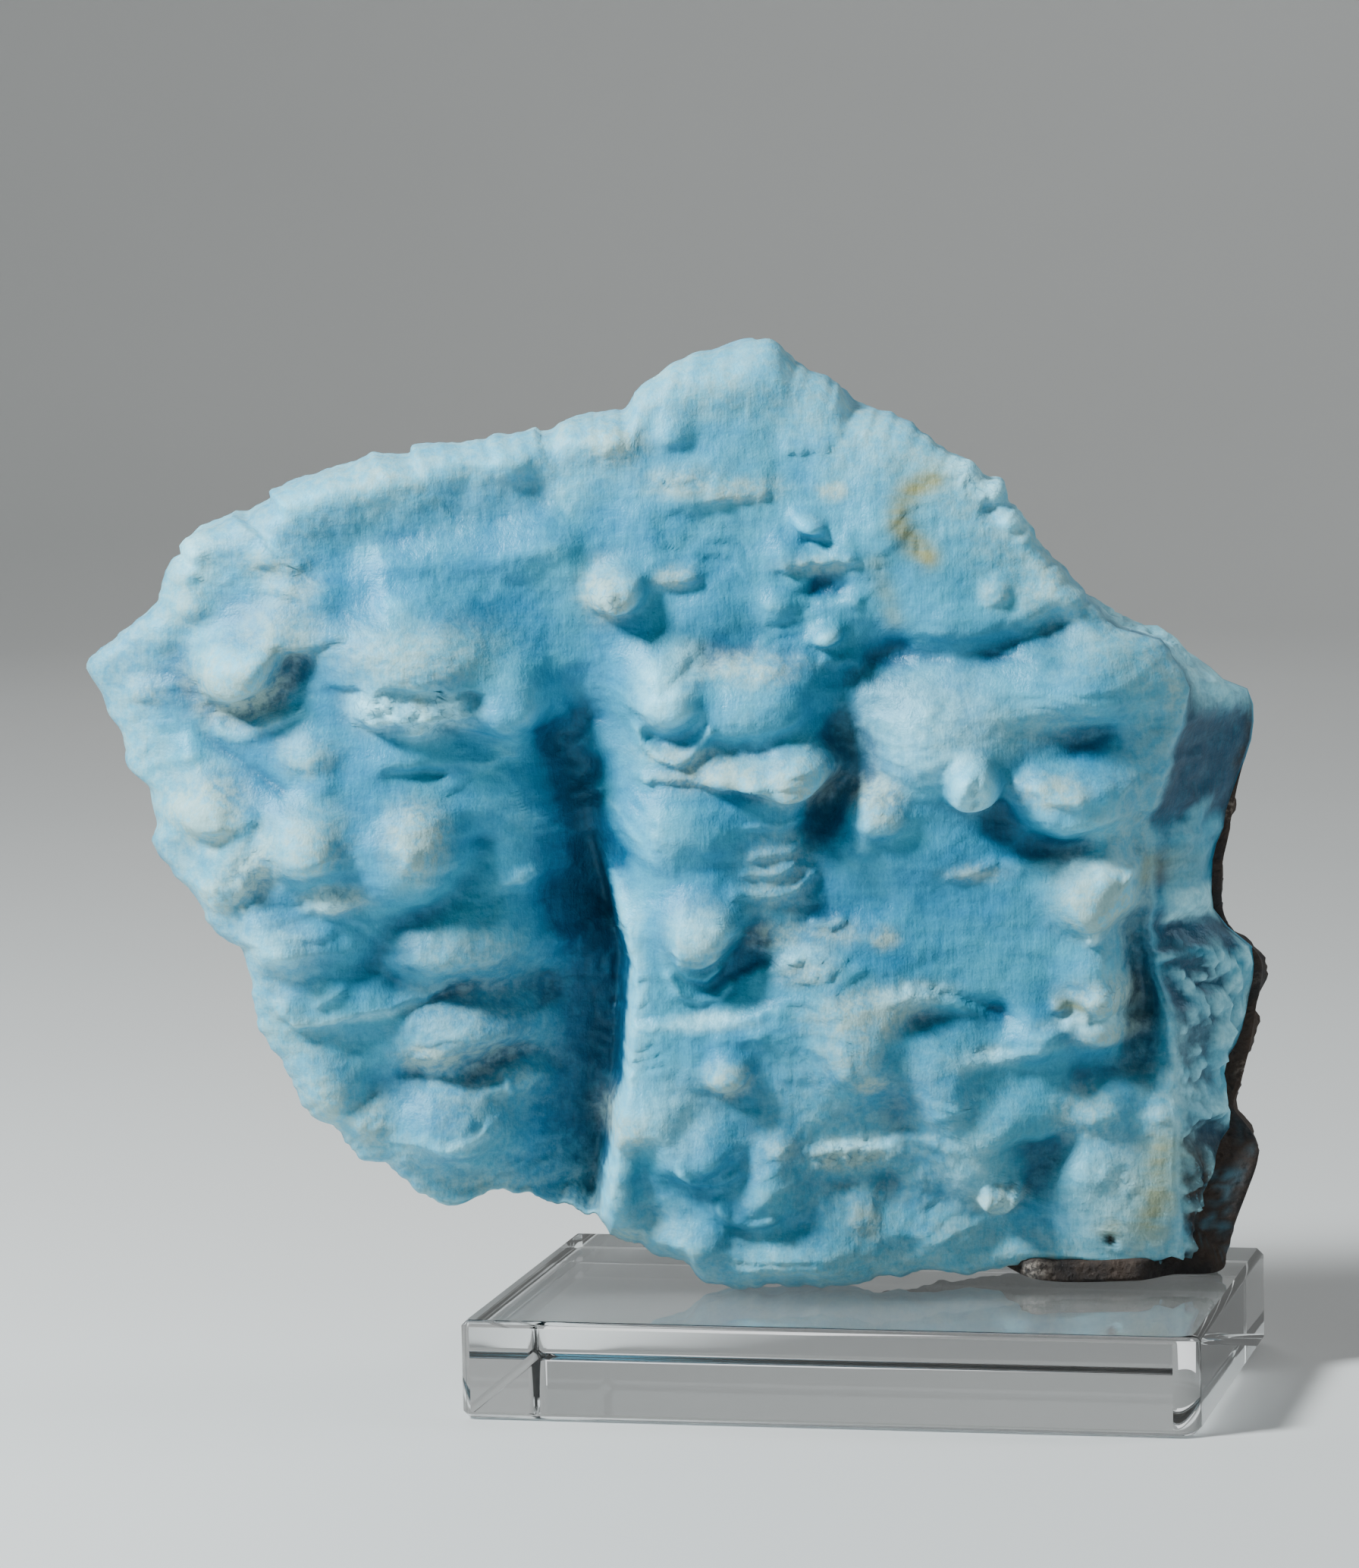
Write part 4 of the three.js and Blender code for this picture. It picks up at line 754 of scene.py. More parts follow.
class Slab:
    """A closed body: a square net in front, one at the back, and a wall of rings that halve in number.

    front, wall and back take the net's x and y (and the wall's depth) and give a dict with across, up,
    out and the surface's masks."""

    def __init__(self, cells, wall_rows, front, wall, back):
        self.columns = {}
        self.count = 0
        self.faces = []
        front_net = self.net(cells, front)
        back_cells = cells // wall_rows[-1][0]
        back_net = self.net(back_cells, back)
        self.fill(front_net, False)
        self.fill(back_net, True)
        rings = [self.rim(front_net)]
        total = sum(rows for _, rows in wall_rows)
        row = 0
        for share, rows in wall_rows:
            for _ in range(rows):
                row += 1
                if row < total:
                    rings.append(self.ring(cells // share, row / total, wall))
        rings.append(self.rim(back_net))
        for fine, coarse in zip(rings, rings[1:]):
            self.join(fine, coarse)

    def add(self, fields):
        shape = fields["across"].shape
        size = fields["across"].size
        for name, values in fields.items():
            self.columns.setdefault(name, []).append(np.broadcast_to(values, shape).ravel())
        index = np.arange(self.count, self.count + size).reshape(shape)
        self.count += size
        return index

    def net(self, cells, place):
        steps = np.linspace(-1, 1, cells + 1)
        x, y = np.meshgrid(steps, steps)
        return self.add(place(x, y))

    def ring(self, cells, depth, place):
        step = np.linspace(-1, 1, cells, endpoint=False)
        one = np.ones(cells)
        x = np.concatenate([step, one, -step, -one])
        y = np.concatenate([-one, step, one, -step])
        return self.add(place(x, y, depth))

    @staticmethod
    def rim(net):
        return np.concatenate([net[0, :-1], net[:-1, -1], net[-1, :0:-1], net[:0:-1, 0]])

    def fill(self, net, reverse):
        corners = [net[:-1, :-1], net[:-1, 1:], net[1:, 1:], net[1:, :-1]]
        quads = np.stack(corners, axis=-1).reshape(-1, 4)
        self.faces += (quads[:, ::-1] if reverse else quads).tolist()

    def join(self, fine, coarse):
        share = len(fine) // len(coarse)
        nxt = np.roll(coarse, -1)
        if share == 1:
            self.faces += np.stack([fine, coarse, nxt, np.roll(fine, -1)], axis=-1).tolist()
            return
        first, middle, last = fine[0::2], fine[1::2], np.roll(fine[0::2], -1)
        self.faces += np.stack([first, coarse, middle], axis=-1).tolist()
        self.faces += np.stack([middle, coarse, nxt], axis=-1).tolist()
        self.faces += np.stack([middle, nxt, last], axis=-1).tolist()

    def field(self, name):
        return np.concatenate(self.columns[name])

    def make_object(self, name, masks):
        """The slab as an object in the row's frame, in metres, with its masks as named attributes."""
        turn = math.radians(STONE_TURN_DEG)
        across, up, out = (self.field(key) for key in ("across", "up", "out"))
        x = across * math.cos(turn) + out * math.sin(turn)
        y = across * math.sin(turn) - out * math.cos(turn)
        points = np.stack([x, y, np.maximum(up, REST_HEIGHT)], axis=-1) * MM
        mesh = bpy.data.meshes.new(name)
        mesh.from_pydata(points.tolist(), [], self.faces)
        mesh.update()
        mesh.shade_smooth()
        for mask in masks:
            layer = mesh.attributes.new(mask, "FLOAT", "POINT")
            layer.data.foreach_set("value", np.clip(self.field(mask), 0, 1).astype(np.float32))
        return linked(name, mesh)


CRUST_MASKS = ("hollow", "deep", "crest", "cream", "white", "stain", "rubble", "rocky")


def cleft_shade(across, up, reach):
    """How deep inside the cleft a place lies: 1 against its right-hand wall, fading to the left."""
    _, side, past = near_line(CLEFT_WALL, across, up)
    return smooth_step(-0.6, 0.4, side) * smooth_step(reach, 0.4 * reach, side) * np.exp(-(past / 9) ** 2)


def shade_masks(across, up, out, patch_shade, pale_rim):
    """Painted shade in hollows and deep places, and painted highlights on crests, from how the surface lies
    against its surroundings.
    """
    near, wide = blurred(out, 3), blurred(out, 11)
    sunk = smooth_step(0.3, 3.2, wide - out)
    deep = 0.8 * patch_shade * (0.25 + 0.75 * sunk) + 0.4 * smooth_step(2, 6, wide - out)
    crest = 0.5 * smooth_step(0.15, 1.5, out - near) + 0.7 * smooth_step(0.6, 4.2, out - wide)
    return {
        "hollow": 0.9 * sunk + 0.7 * patch_shade + 0.9 * cleft_shade(across, up, 19),
        "deep": deep + 0.4 * cleft_shade(across, up, 5) + 0.6 * cleft_shade(across, up, 13),
        "crest": crest + 0.35 * pale_rim + 0.3 * smooth_step(165, 205, up),
    }


# The same painted shade and highlight masks along the front's edge, where the wall begins
RIM_SHADES = {"hollow": 0.0, "deep": 0.0, "crest": 0.4}


def stained(across, up):
    strength = np.zeros(across.shape)
    for points, width, most in STAINS:
        distance, _, _ = near_line(points, across, up)
        strength = np.maximum(strength, most * np.exp(-(distance / width) ** 2))
    return strength


def broken_side(place, depth):
    """Bulge and masks of the crust's wall, which is broken and granular along the right side. The masks
    paint shade over the wall and between its knobs, and highlights on its lump tops.
    """
    across, up, out = place["across"], place["up"], place["out"]
    on_side = smooth_step(*SIDE_BEGINS, across)
    begun = on_side * min(1, 9 * depth)
    held = math.sin(math.pi * depth)
    shift = 0.9 * COARSE.at(across / 7, up / 7, out / 7)
    patchy = 0.3 * COARSE.layered(across / 7, up / 9, out / 7, layers=3)

    beaded = smooth_step(*BEADED_BELOW, up)
    snowy = smooth_step(*SNOWY_ABOVE, up) * smooth_step(44, 52, across) * smooth_step(0.05, 0.3, depth)
    beads = pebbles(across / 5 + shift, up / 5 - shift, out / 5, seed=3)
    seeds = pebbles(across / 2.2, up / 2.2 + shift, out / 2.2, seed=8)
    large, small = np.clip(0.75 - beads, 0, 1), np.clip(0.6 - seeds, 0, 1)
    knobs = beaded * (6 * large * (0.5 + 0.5 * depth) + 2.4 * small) + snowy * (3.6 * large + 1.2 * small)
    gaps = (beaded + 0.6 * snowy) * smooth_step(0.3, 0.62, beads)
    from_steps = np.abs(up - STEPPED_MIDDLE)
    steps = 0.5 * np.sin(up * 2.1 + 0.6 * np.sin(out)) * np.exp(-(from_steps / 7) ** 2)
    lumps = 3 * (0.6 - pebbles(across / 8 + shift, up / 10, out / 9, seed=12))
    for height, middle, half_height, half_depth, rise in SIDE_LUMPS:
        away = ((up - height) / half_height) ** 2 + ((depth - middle) / half_depth) ** 2
        lumps = lumps + rise * np.exp(-away)
    bulge = held * (1.5 * (1 - 0.9 * on_side) + 0.9 * COARSE.layered(across / 6, up / 6, out / 6, layers=3)
                    + on_side * (lumps + knobs + steps))

    wedge = smooth_step(4.2, 2.4, np.abs(up - WEDGE_MIDDLE)) * smooth_step(0.1, 0.3, depth) * on_side
    # Painted shade over the right side, darker in the gaps between knobs, in its hollows and on the smooth
    # upper facet
    shadow = (0.52 + 0.6 * gaps + 0.3 * smooth_step(0.2, -1.6, lumps) + patchy
              + 0.4 * smooth_step(*SMOOTH_ABOVE, up) - 0.2 * smooth_step(8, 5, from_steps))
    ragged_depth = depth + 0.12 * COARSE.layered(across / 5, up / 5, z=1.0)
    near_rock = smooth_step(0.86, 1.06, ragged_depth) * (1 - snowy)
    low = smooth_step(*ROCKY_BELOW, up) * smooth_step(0.0, 0.35, depth) * (0.7 + 0.3 * gaps)
    cream = lerp(place["cream"], 0.35, (1 - on_side) * min(1, 2 * depth))
    return bulge, {
        # Painted shade over the wall and painted highlights on its lump and knob tops
        "hollow": lerp(place["hollow"], 0.85 + 0.2 * gaps + patchy, begun) * (1 - 0.9 * snowy),
        "deep": lerp(place["deep"], shadow, begun) * (1 - snowy),
        "crest": lerp(place["crest"], 0.6 * smooth_step(0.8, 2.6, lumps + knobs), begun),
        "cream": lerp(cream, 0.03, begun),
        "white": (place["white"] * (1 - depth) + 1.2 * snowy * (1 - 0.5 * gaps) + 1.1 * wedge
                  + 1.2 * beaded * begun * smooth_step(1.0, 2.8, knobs) * (0.4 + 0.6 * depth)),
        "stain": place["stain"] * (1 - depth),
        "rubble": lerp(place["rubble"], 0.0, begun),
        "rocky": on_side * np.maximum(near_rock * 0.9, low),
    }


def make_crust_slab(droop):
    plain_front = edge_radius(FRONT_EDGE, SLAB_MIDDLE)
    back_radius = edge_radius(CRUST_BACK_EDGE, SLAB_MIDDLE)

    def front_radius(angle):
        turn_x, turn_y = np.cos(angle), np.sin(angle)
        chips = (0.6 * COARSE.at(turn_x * 26, turn_y * 26) + 0.4 * FINE.at(turn_x * 48, turn_y * 48)
                 + 0.25 * FINE.at(turn_x * 90, turn_y * 90, z=5.0))
        return plain_front(angle) + chips

    def front(x, y):
        across, up, to_edge = on_edge_net(x, y, SLAB_MIDDLE, front_radius)
        crumbled = painted(across, up, CRUMBLED_PATCHES)
        rounding = edge_rounding(across, up)
        bent = 1 - np.minimum(to_edge / rounding, 1)
        relief = fine_relief(across, up) + skin_texture(across, up, crumbled)
        relief = relief * (0.25 + 0.75 * smooth_step(0, 5, to_edge)) * smooth_step(0, 1.5, to_edge)
        out = broad_level(across, up) + relief - rounding * (1 - np.sqrt(1 - 0.9 * bent * bent))
        sag = droop * np.maximum(relief, 0) * smooth_step(2, 12, to_edge)
        # Painted shade from the listed shade patches
        patch_shade = painted(across, up, SHADE_PATCHES)
        pale_rim = (1 - smooth_step(0, 20, to_edge)) * (1 - patch_shade)
        is_net = x.ndim == 2
        shades = shade_masks(across, up, out, patch_shade, pale_rim) if is_net else RIM_SHADES
        return {"across": across, "up": up - sag, "out": out, **shades,
                "cream": np.maximum(painted(across, up, CREAM_PATCHES), 0.35 * pale_rim),
                "white": painted(across, up, WHITE_PATCHES), "stain": stained(across, up),
                "rubble": crumbled, "rocky": painted(across, up, DARK_PITS)}

    def back(x, y):
        across, up, to_edge = on_edge_net(x, y, SLAB_MIDDLE, back_radius)
        breaks = (1.6 * COARSE.layered(across / 17, up / 13, z=7.7, layers=4)
                  - 2.6 * pebbles(across / 11, up / 7, 0.0, seed=9))
        bumps = breaks + 0.25 * FINE.layered(across / 1.8, up / 2.6, z=4.4, layers=2)
        bumps = bumps * smooth_step(0, 6, to_edge)
        banded = COARSE.layered(across / 30, up / 7, z=3.1, layers=3)
        return {"across": across, "up": up,
                "out": crust_back_level(across, up) + 0.6 * unevenness(across, up) + bumps,
                # On the back these masks draw only colour bands across the crust
                "hollow": 0.35 * smooth_step(0.0, 0.9, banded), "deep": 0.0,
                "crest": 0.6 * smooth_step(0.2, -0.8, banded), "rubble": 0.3,
                "cream": 0.6 * smooth_step(-1.2, 0.4, breaks),
                "white": 0.4 * smooth_step(-1.9, -3.0, breaks),
                "stain": 0.5 * smooth_step(0.2, 1.2, COARSE.at(across / 18, up / 12, z=2.2)),
                "rocky": 0.5 * smooth_step(0.3, 0.9, FINE.layered(across / 16, up / 12, z=8.8))}

    def wall(x, y, depth):
        place = between(front(x, y), back(x, y), depth)
        bulge, masks = broken_side(place, depth)
        return pushed({**place, **masks}, x, y, bulge)

    return Slab(FRONT_CELLS, WALL_ROWS, front, wall, back)


ROCK_MASKS = ("rust", "pale", "frost")


def rock_grains(across, up, out):
    return pebbles(across / 2.7, up / 2.7, out / 2.7, seed=19)


def broken_rock(across, up, out):
    chunks = 2.2 * (0.5 - pebbles(across / 9, up / 9, out / 9, seed=17))
    grains = 1.5 * (0.5 - rock_grains(across, up, out))
    return chunks + grains + 1.1 * COARSE.layered(across / 5, up / 5, out / 5, layers=4, gain=0.6)


def rock_place(across, up, out):
    """A place on the rock with its masks: rust, pale grains, and frost where the aragonite comes near."""
    frost = (smooth_step(0.62, 0.3, rock_grains(across, up, out))
             * smooth_step(-0.2, 0.6, COARSE.at(across / 4, up / 5, out / 4))
             * smooth_step(58, 66, across) * smooth_step(-12, -2, out))
    return {"across": across, "up": up, "out": out, "frost": frost,
            "rust": smooth_step(-0.1, 0.9, COARSE.layered(across / 8, up / 6, out / 8 + 4.4, layers=3)),
            "pale": smooth_step(0.5, 1.1, FINE.layered(across / 6, up / 6, out / 6 + 1.4, layers=3))}


def make_rock_slab():
    radius = edge_radius(ROCK_EDGE, ROCK_MIDDLE)

    def front(x, y):
        across, up, _ = on_edge_net(x * 0.985, y * 0.985, ROCK_MIDDLE, radius)
        lip = smooth_step(22, 34, across) * (1 - smooth_step(54, 64, across))
        foot = lip * (1 - smooth_step(25.5, 27, up))
        return rock_place(across, up, lerp(crust_back_level(across, up) + 0.3, 9.0, foot))

    def back(x, y):
        across, up, to_edge = on_edge_net(x * 0.95, y * 0.95, ROCK_MIDDLE, radius)
        faces = [level + slope * across + rise * up for level, slope, rise in ROCK_BACK_FACES]
        out = np.maximum.reduce(faces) + 0.8 * unevenness(across, up)
        return rock_place(across, up, out + broken_rock(across, up, 0.0) * smooth_step(0, 5, to_edge))

    def wall(x, y, depth):
        place = between(front(x, y), back(x, y), depth)
        place = rock_place(place["across"], place["up"], place["out"])
        held = math.sin(math.pi * depth)
        bulge = held * (1.4 + broken_rock(place["across"], place["up"], place["out"]))
        return pushed(place, x, y, bulge)

    return Slab(ROCK_CELLS, ROCK_WALL_ROWS, front, wall, back)


# Shader building

class Wire:
    """A socket that carries a value. Python's operators on it add Math nodes."""

    def __init__(self, shader, socket):
        self.shader = shader
        self.socket = socket

    def maths(self, operation, *inputs):
        return self.shader.node("ShaderNodeMath", {"operation": operation}, *inputs)

    def __add__(self, other):
        return self.maths("ADD", self, other)

    def __radd__(self, other):
        return self.maths("ADD", other, self)

    def __sub__(self, other):
        return self.maths("SUBTRACT", self, other)

    def __rsub__(self, other):
        return self.maths("SUBTRACT", other, self)

    def __mul__(self, other):
        return self.maths("MULTIPLY", self, other)

    def __rmul__(self, other):
        return self.maths("MULTIPLY", other, self)

    def clamped(self):
        return self.shader.node("ShaderNodeMath", {"operation": "ADD", "use_clamp": True}, self, 0.0)


class Shader:
    """A material's node tree, built by calls."""

    def __init__(self, name):
        self.material = bpy.data.materials.new(name)
        self.material.use_nodes = True
        self.tree = self.material.node_tree
        self.tree.nodes.clear()

    def node(self, kind, settings=None, *inputs, output=0, **named):
        made = self.tree.nodes.new(kind)
        for key, value in (settings or {}).items():
            setattr(made, key, value)
        for key, value in list(enumerate(inputs)) + list(named.items()):
            socket = made.inputs[key.replace("_", " ") if isinstance(key, str) else key]
            if isinstance(value, Wire):
                self.tree.links.new(value.socket, socket)
            elif value is not None:
                socket.default_value = value
        return Wire(self, made.outputs[output])

    def mask(self, name):
        return self.node("ShaderNodeAttribute", {"attribute_name": name}, output="Fac")

    def mixed(self, factor, first, second, blend="MIX"):
        """Mix of two colours. The node's sockets for numbers and vectors are left as they are."""
        settings = {"data_type": "RGBA", "blend_type": blend}
        other_kinds = (None,) * 5
        colours = (c if isinstance(c, Wire) else (*c[:3], 1.0) for c in (first, second))
        return self.node("ShaderNodeMix", settings, factor, *other_kinds, *colours, output=2)

    def mottled(self, share, tone, pattern, darker, paler, blend="SOFT_LIGHT"):
        """A tone made darker and paler by a pattern between 0 and 1."""
        return self.mixed(share, tone, self.mixed(pattern, darker, paler), blend)

    def stretched(self, turn, scale):
        place = self.node("ShaderNodeTexCoord", output="Object")
        turned = self.node("ShaderNodeMapping", {"vector_type": "TEXTURE"}, place, None, (0, 0, turn))
        return self.node("ShaderNodeMapping", None, turned, None, None, scale)

    def noise(self, place, scale, detail=3.0, roughness=0.55):
        sockets = {"Scale": scale, "Detail": detail, "Roughness": roughness}
        return self.node("ShaderNodeTexNoise", None, place, **sockets)

    def cells(self, place, scale, feature="F1"):
        settings = {"feature": feature}
        return self.node("ShaderNodeTexVoronoi", settings, place, Scale=scale, output="Distance")

    def ranged(self, value, low, high, to_low=0.0, to_high=1.0):
        settings = {"interpolation_type": "SMOOTHSTEP"}
        return self.node("ShaderNodeMapRange", settings, value, low, high, to_low, to_high)

    def bump(self, height, strength, distance, below=None):
        sockets = {"Strength": strength, "Distance": distance, "Height": height, "Normal": below}
        return self.node("ShaderNodeBump", None, **sockets)

    def finish(self, **sockets):
        surface = self.node("ShaderNodeBsdfPrincipled", None, **sockets)
        end = self.tree.nodes.new("ShaderNodeOutputMaterial")
        self.tree.links.new(surface.socket, end.inputs["Surface"])
        return self.material


def grey(value):
    return (value, value, value)


def aragonite_material(colours):
    shader = Shader("Waxy blue aragonite")
    turn = math.radians(STONE_TURN_DEG)
    slab = shader.stretched(turn, (1, 1, 1))
    clouds = shader.noise(slab, 55, 4)
    mottle = shader.noise(slab, 420, 4, 0.65)
    grain = shader.noise(slab, 1900, 2)
    clumps = shader.noise(slab, 700, 3)
    fibres = shader.noise(shader.stretched(turn, (1.0, 1.0, 0.14)), 1100, 2)
    layers = shader.noise(shader.stretched(turn, (0.22, 0.6, 1.0)), 420, 3)
    cracks = 1 - shader.ranged(shader.cells(slab, 420, "DISTANCE_TO_EDGE"), 0.0, 0.09)
    mask = {name: shader.mask(name) for name in CRUST_MASKS}

    weathered = 0.28 * mask["crest"] * shader.ranged(clouds, 0.42, 0.6, 1.0, 0.0)
    cream = ((mask["cream"] + weathered) * (0.45 + 1.1 * shader.ranged(mottle, 0.35, 0.65))).clamped()
    gaps = cracks * shader.ranged(clumps, 0.4, 0.6) * mask["rubble"]
    brown = shader.mixed(shader.ranged(mottle, 0.4, 0.65), colours.rock, colours.rust)
    tone = colours.skin
    for share, colour in (
        (shader.ranged(clouds, 0.35, 0.68), colours.skin_blue),
        # Painted shade: stronger blue in hollows, in the cleft and on the shaded right side
        (mask["hollow"] * 1.15 + (fibres - 0.5) * 0.25, colours.hollow),
        # Painted shade: deepest blue in the cleft, in recesses and in cast shadows
        (mask["deep"] * 1.1, colours.deep_shade_blue),
        # Painted highlight: paler blue on raised places, along the edge and towards the top
        (mask["crest"] * 0.8 + (mottle - 0.5) * 0.3, colours.crest),
        (cream * 0.8, colours.cream),
        (mask["white"] * (0.45 + 0.5 * shader.ranged(mottle, 0.3, 0.7)), colours.white),
        (mask["stain"] * shader.ranged(layers, 0.3, 0.6, 0.6, 1.0), colours.stain),
        # Dark cracks in the rubble, drawn with the same strong blue
        (gaps * 0.55, colours.hollow),
        (mask["rocky"] * shader.ranged(clumps, 0.3, 0.45, 0.45, 1.0), brown),
    ):
        tone = shader.mixed(share.clamped(), tone, colour)
    tone = shader.mottled(0.45, tone, shader.ranged(fibres, 0.2, 0.8), grey(0.35), grey(0.65))
    tone = shader.mottled(0.45, tone, shader.ranged(grain, 0.3, 0.7), grey(0.4), grey(0.6))
    tone = shader.mottled(0.5, tone, shader.ranged(layers, 0.3, 0.7), (0.36, 0.38, 0.4), (0.64, 0.62, 0.6))

    dull = (0.46 + 0.2 * mask["cream"] + 0.3 * mask["rocky"] + (mottle - 0.5) * 0.25).clamped()
    normal = shader.bump(fibres * 0.5 + layers * 0.7 + mottle * 0.7, 0.5, 0.0005)
    normal = shader.bump(grain, 0.4, 0.0002, normal)
    return shader.finish(Base_Color=tone, Roughness=dull, Normal=normal, IOR=1.6,
                         Specular_IOR_Level=0.4, Specular_Tint=(0.45, 0.8, 1.0, 1.0))


def rock_material(colours):
    shader = Shader("Dark brown host rock")
    place = shader.node("ShaderNodeTexCoord", output="Object")
    blotches = shader.noise(place, 130, 5, 0.6)
    grit = shader.noise(place, 900, 4, 0.7)
    pits = shader.cells(place, 520)
    pale = shader.mask("pale") * shader.ranged(grit, 0.4, 0.6) * 0.7
    tone = shader.mixed(shader.ranged(blotches, 0.35, 0.65), colours.rock, colours.rust)
    tone = shader.mixed(shader.mask("rust") * 0.6, tone, colours.rust)
    tone = shader.mixed(pale.clamped(), tone, colours.rock_pale)
    tone = shader.mottled(0.5, tone, shader.ranged(grit, 0.25, 0.75), grey(0.3), grey(0.7), "OVERLAY")
    # Frost of aragonite on the rock, in the pale blue of the painted highlights
    tone = shader.mixed(shader.mask("frost") * 0.16, tone, colours.crest)
    rough = shader.ranged(blotches, 0.3, 0.7, 0.7, 0.95)
    normal = shader.bump(grit + shader.ranged(pits, 0.0, 0.5) * 0.6, 0.8, 0.0009)
    return shader.finish(Base_Color=tone, Roughness=rough, Normal=normal, IOR=1.5)


def acrylic_material(colours):
    shader = Shader("Clear polished acrylic")
    place = shader.node("ShaderNodeTexCoord", output="Object")
    streaks = shader.node("ShaderNodeMapping", None, place, None, (0.0, 0.0, 0.35), (1.0, 14.0, 1.0))
    scuffs = shader.noise(streaks, 160, 3)
    smears = shader.noise(place, 28, 3)
    rough = 0.012 + 0.03 * shader.ranged(scuffs, 0.62, 0.75) + 0.02 * shader.ranged(smears, 0.5, 0.8)
    normal = shader.bump(smears, 0.02, 0.0004)
    return shader.finish(Base_Color=(*colours.acrylic, 1.0), Roughness=rough, Normal=normal, IOR=1.49,
                         Transmission_Weight=1.0)


def floor_material(colours):
    shader = Shader("Pale matt floor")
    place = shader.node("ShaderNodeTexCoord", output="Object")
    clouds = shader.noise(place, 2.2, 3)
    shaded = [c * 0.97 for c in colours.floor]
    tone = shader.mixed(shader.ranged(clouds, 0.3, 0.7), colours.floor, shaded)
    return shader.finish(Base_Color=tone, Roughness=0.55)


# Settings

def colour_prop(name, description, default):
    return bpy.props.FloatVectorProperty(name=name, description=description, subtype="COLOR", size=3,
                                         min=0.0, max=1.0, default=default)


class SpecimenSizes(bpy.types.PropertyGroup):
    """Sizes that can be changed."""

    droop: bpy.props.FloatProperty(
        name="Droop", description="How far each lump sags, as a share of how far it stands out",
        default=0.34, min=0.0, max=0.6, subtype="FACTOR")
    chamfer: bpy.props.FloatProperty(
        name="Block chamfer", description="Width of the block's polished chamfer",
        default=0.0013, min=0.0002, max=0.004, unit="LENGTH")
    round_corner: bpy.props.FloatProperty(
        name="Rounded corner", description="Radius of the block's front right upright corner",
        default=0.005, min=0.001, max=0.02, unit="LENGTH")
    sharp_corner: bpy.props.FloatProperty(
        name="Sharp corners", description="Radius of the block's three other upright corners",
        default=0.002, min=0.0005, max=0.02, unit="LENGTH")


class SpecimenColours(bpy.types.PropertyGroup):
    """Colours that can be changed."""

    skin: colour_prop("Skin", "Pale blue of the grown skin", (0.045, 0.33, 0.49))
    skin_blue: colour_prop("Skin, bluer", "Bluer clouds in the skin", (0.018, 0.235, 0.42))
    # Painted shade: stronger blue in hollows and deepest blue in the cleft and recesses
    hollow: colour_prop("Hollows", "Stronger blue in the hollows", (0.003, 0.085, 0.185))
    deep_shade_blue: colour_prop("Clefts", "Deepest blue in the clefts", (0.001, 0.045, 0.1))
    # Painted highlight: paler blue on crests
    crest: colour_prop("Crests", "Paler blue grey on the lumps", (0.12, 0.62, 0.88))
    cream: colour_prop("Cream", "Grey cream on weathered lumps", (0.37, 0.54, 0.50))
    white: colour_prop("White", "White of fresh and broken places", (0.42, 0.88, 1.0))
    stain: colour_prop("Stain", "Ochre stain", (0.26, 0.26, 0.10))
    rock: colour_prop("Rock", "Dark brown of the host rock", (0.014, 0.012, 0.013))
    rust: colour_prop("Rock, rusty", "Rust brown in the host rock", (0.055, 0.037, 0.028))
    rock_pale: colour_prop("Rock, pale", "Pale grains in the host rock", (0.30, 0.26, 0.22))
    acrylic: colour_prop("Acrylic", "Tint of the clear block", (0.97, 0.985, 0.99))
    floor: colour_prop("Floor", "Pale studio floor", (0.64, 0.64, 0.63))


def sizes():
    return bpy.context.scene.specimen_sizes


def colours():
    return bpy.context.scene.specimen_colours


def linked(name, data):
    obj = bpy.data.objects.new(name, data)
    bpy.context.collection.objects.link(obj)
    return obj


def object_from(bm, name):
    mesh = bpy.data.meshes.new(name)
    bm.to_mesh(mesh)
    bm.free()
    return linked(name, mesh)


def join_rings(bm, rings, inward):
    """Quads between neighbouring rings of equal length, facing inward or outward."""
    for low, high in zip(rings, rings[1:]):
        for k in range(len(low)):
            after = (k + 1) % len(low)
            if inward:
                bm.faces.new((low[k], high[k], high[after], low[after]))
            else:
                bm.faces.new((low[k], low[after], high[after], high[k]))


def settle(obj, material, node):
    obj.data.materials.append(material)
    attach(obj, "root")
    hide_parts(node)


# Operators

class AddCrust(bpy.types.Operator):
    """Add the blue aragonite crust."""

    bl_idname = "specimen.add_crust"
    bl_label = "Aragonite Crust"

    def execute(self, context):
        slab = make_crust_slab(sizes().droop)
        obj = slab.make_object("blue_aragonite", CRUST_MASKS)
        settle(obj, aragonite_material(colours()), "aragonite_crust")
        return {"FINISHED"}


class AddRock(bpy.types.Operator):
    """Add the brown rock that the aragonite grew on."""

    bl_idname = "specimen.add_rock"
    bl_label = "Host Rock"

    def execute(self, context):
        obj = make_rock_slab().make_object("brown_host_rock", ROCK_MASKS)
        settle(obj, rock_material(colours()), "host_rock")
        return {"FINISHED"}


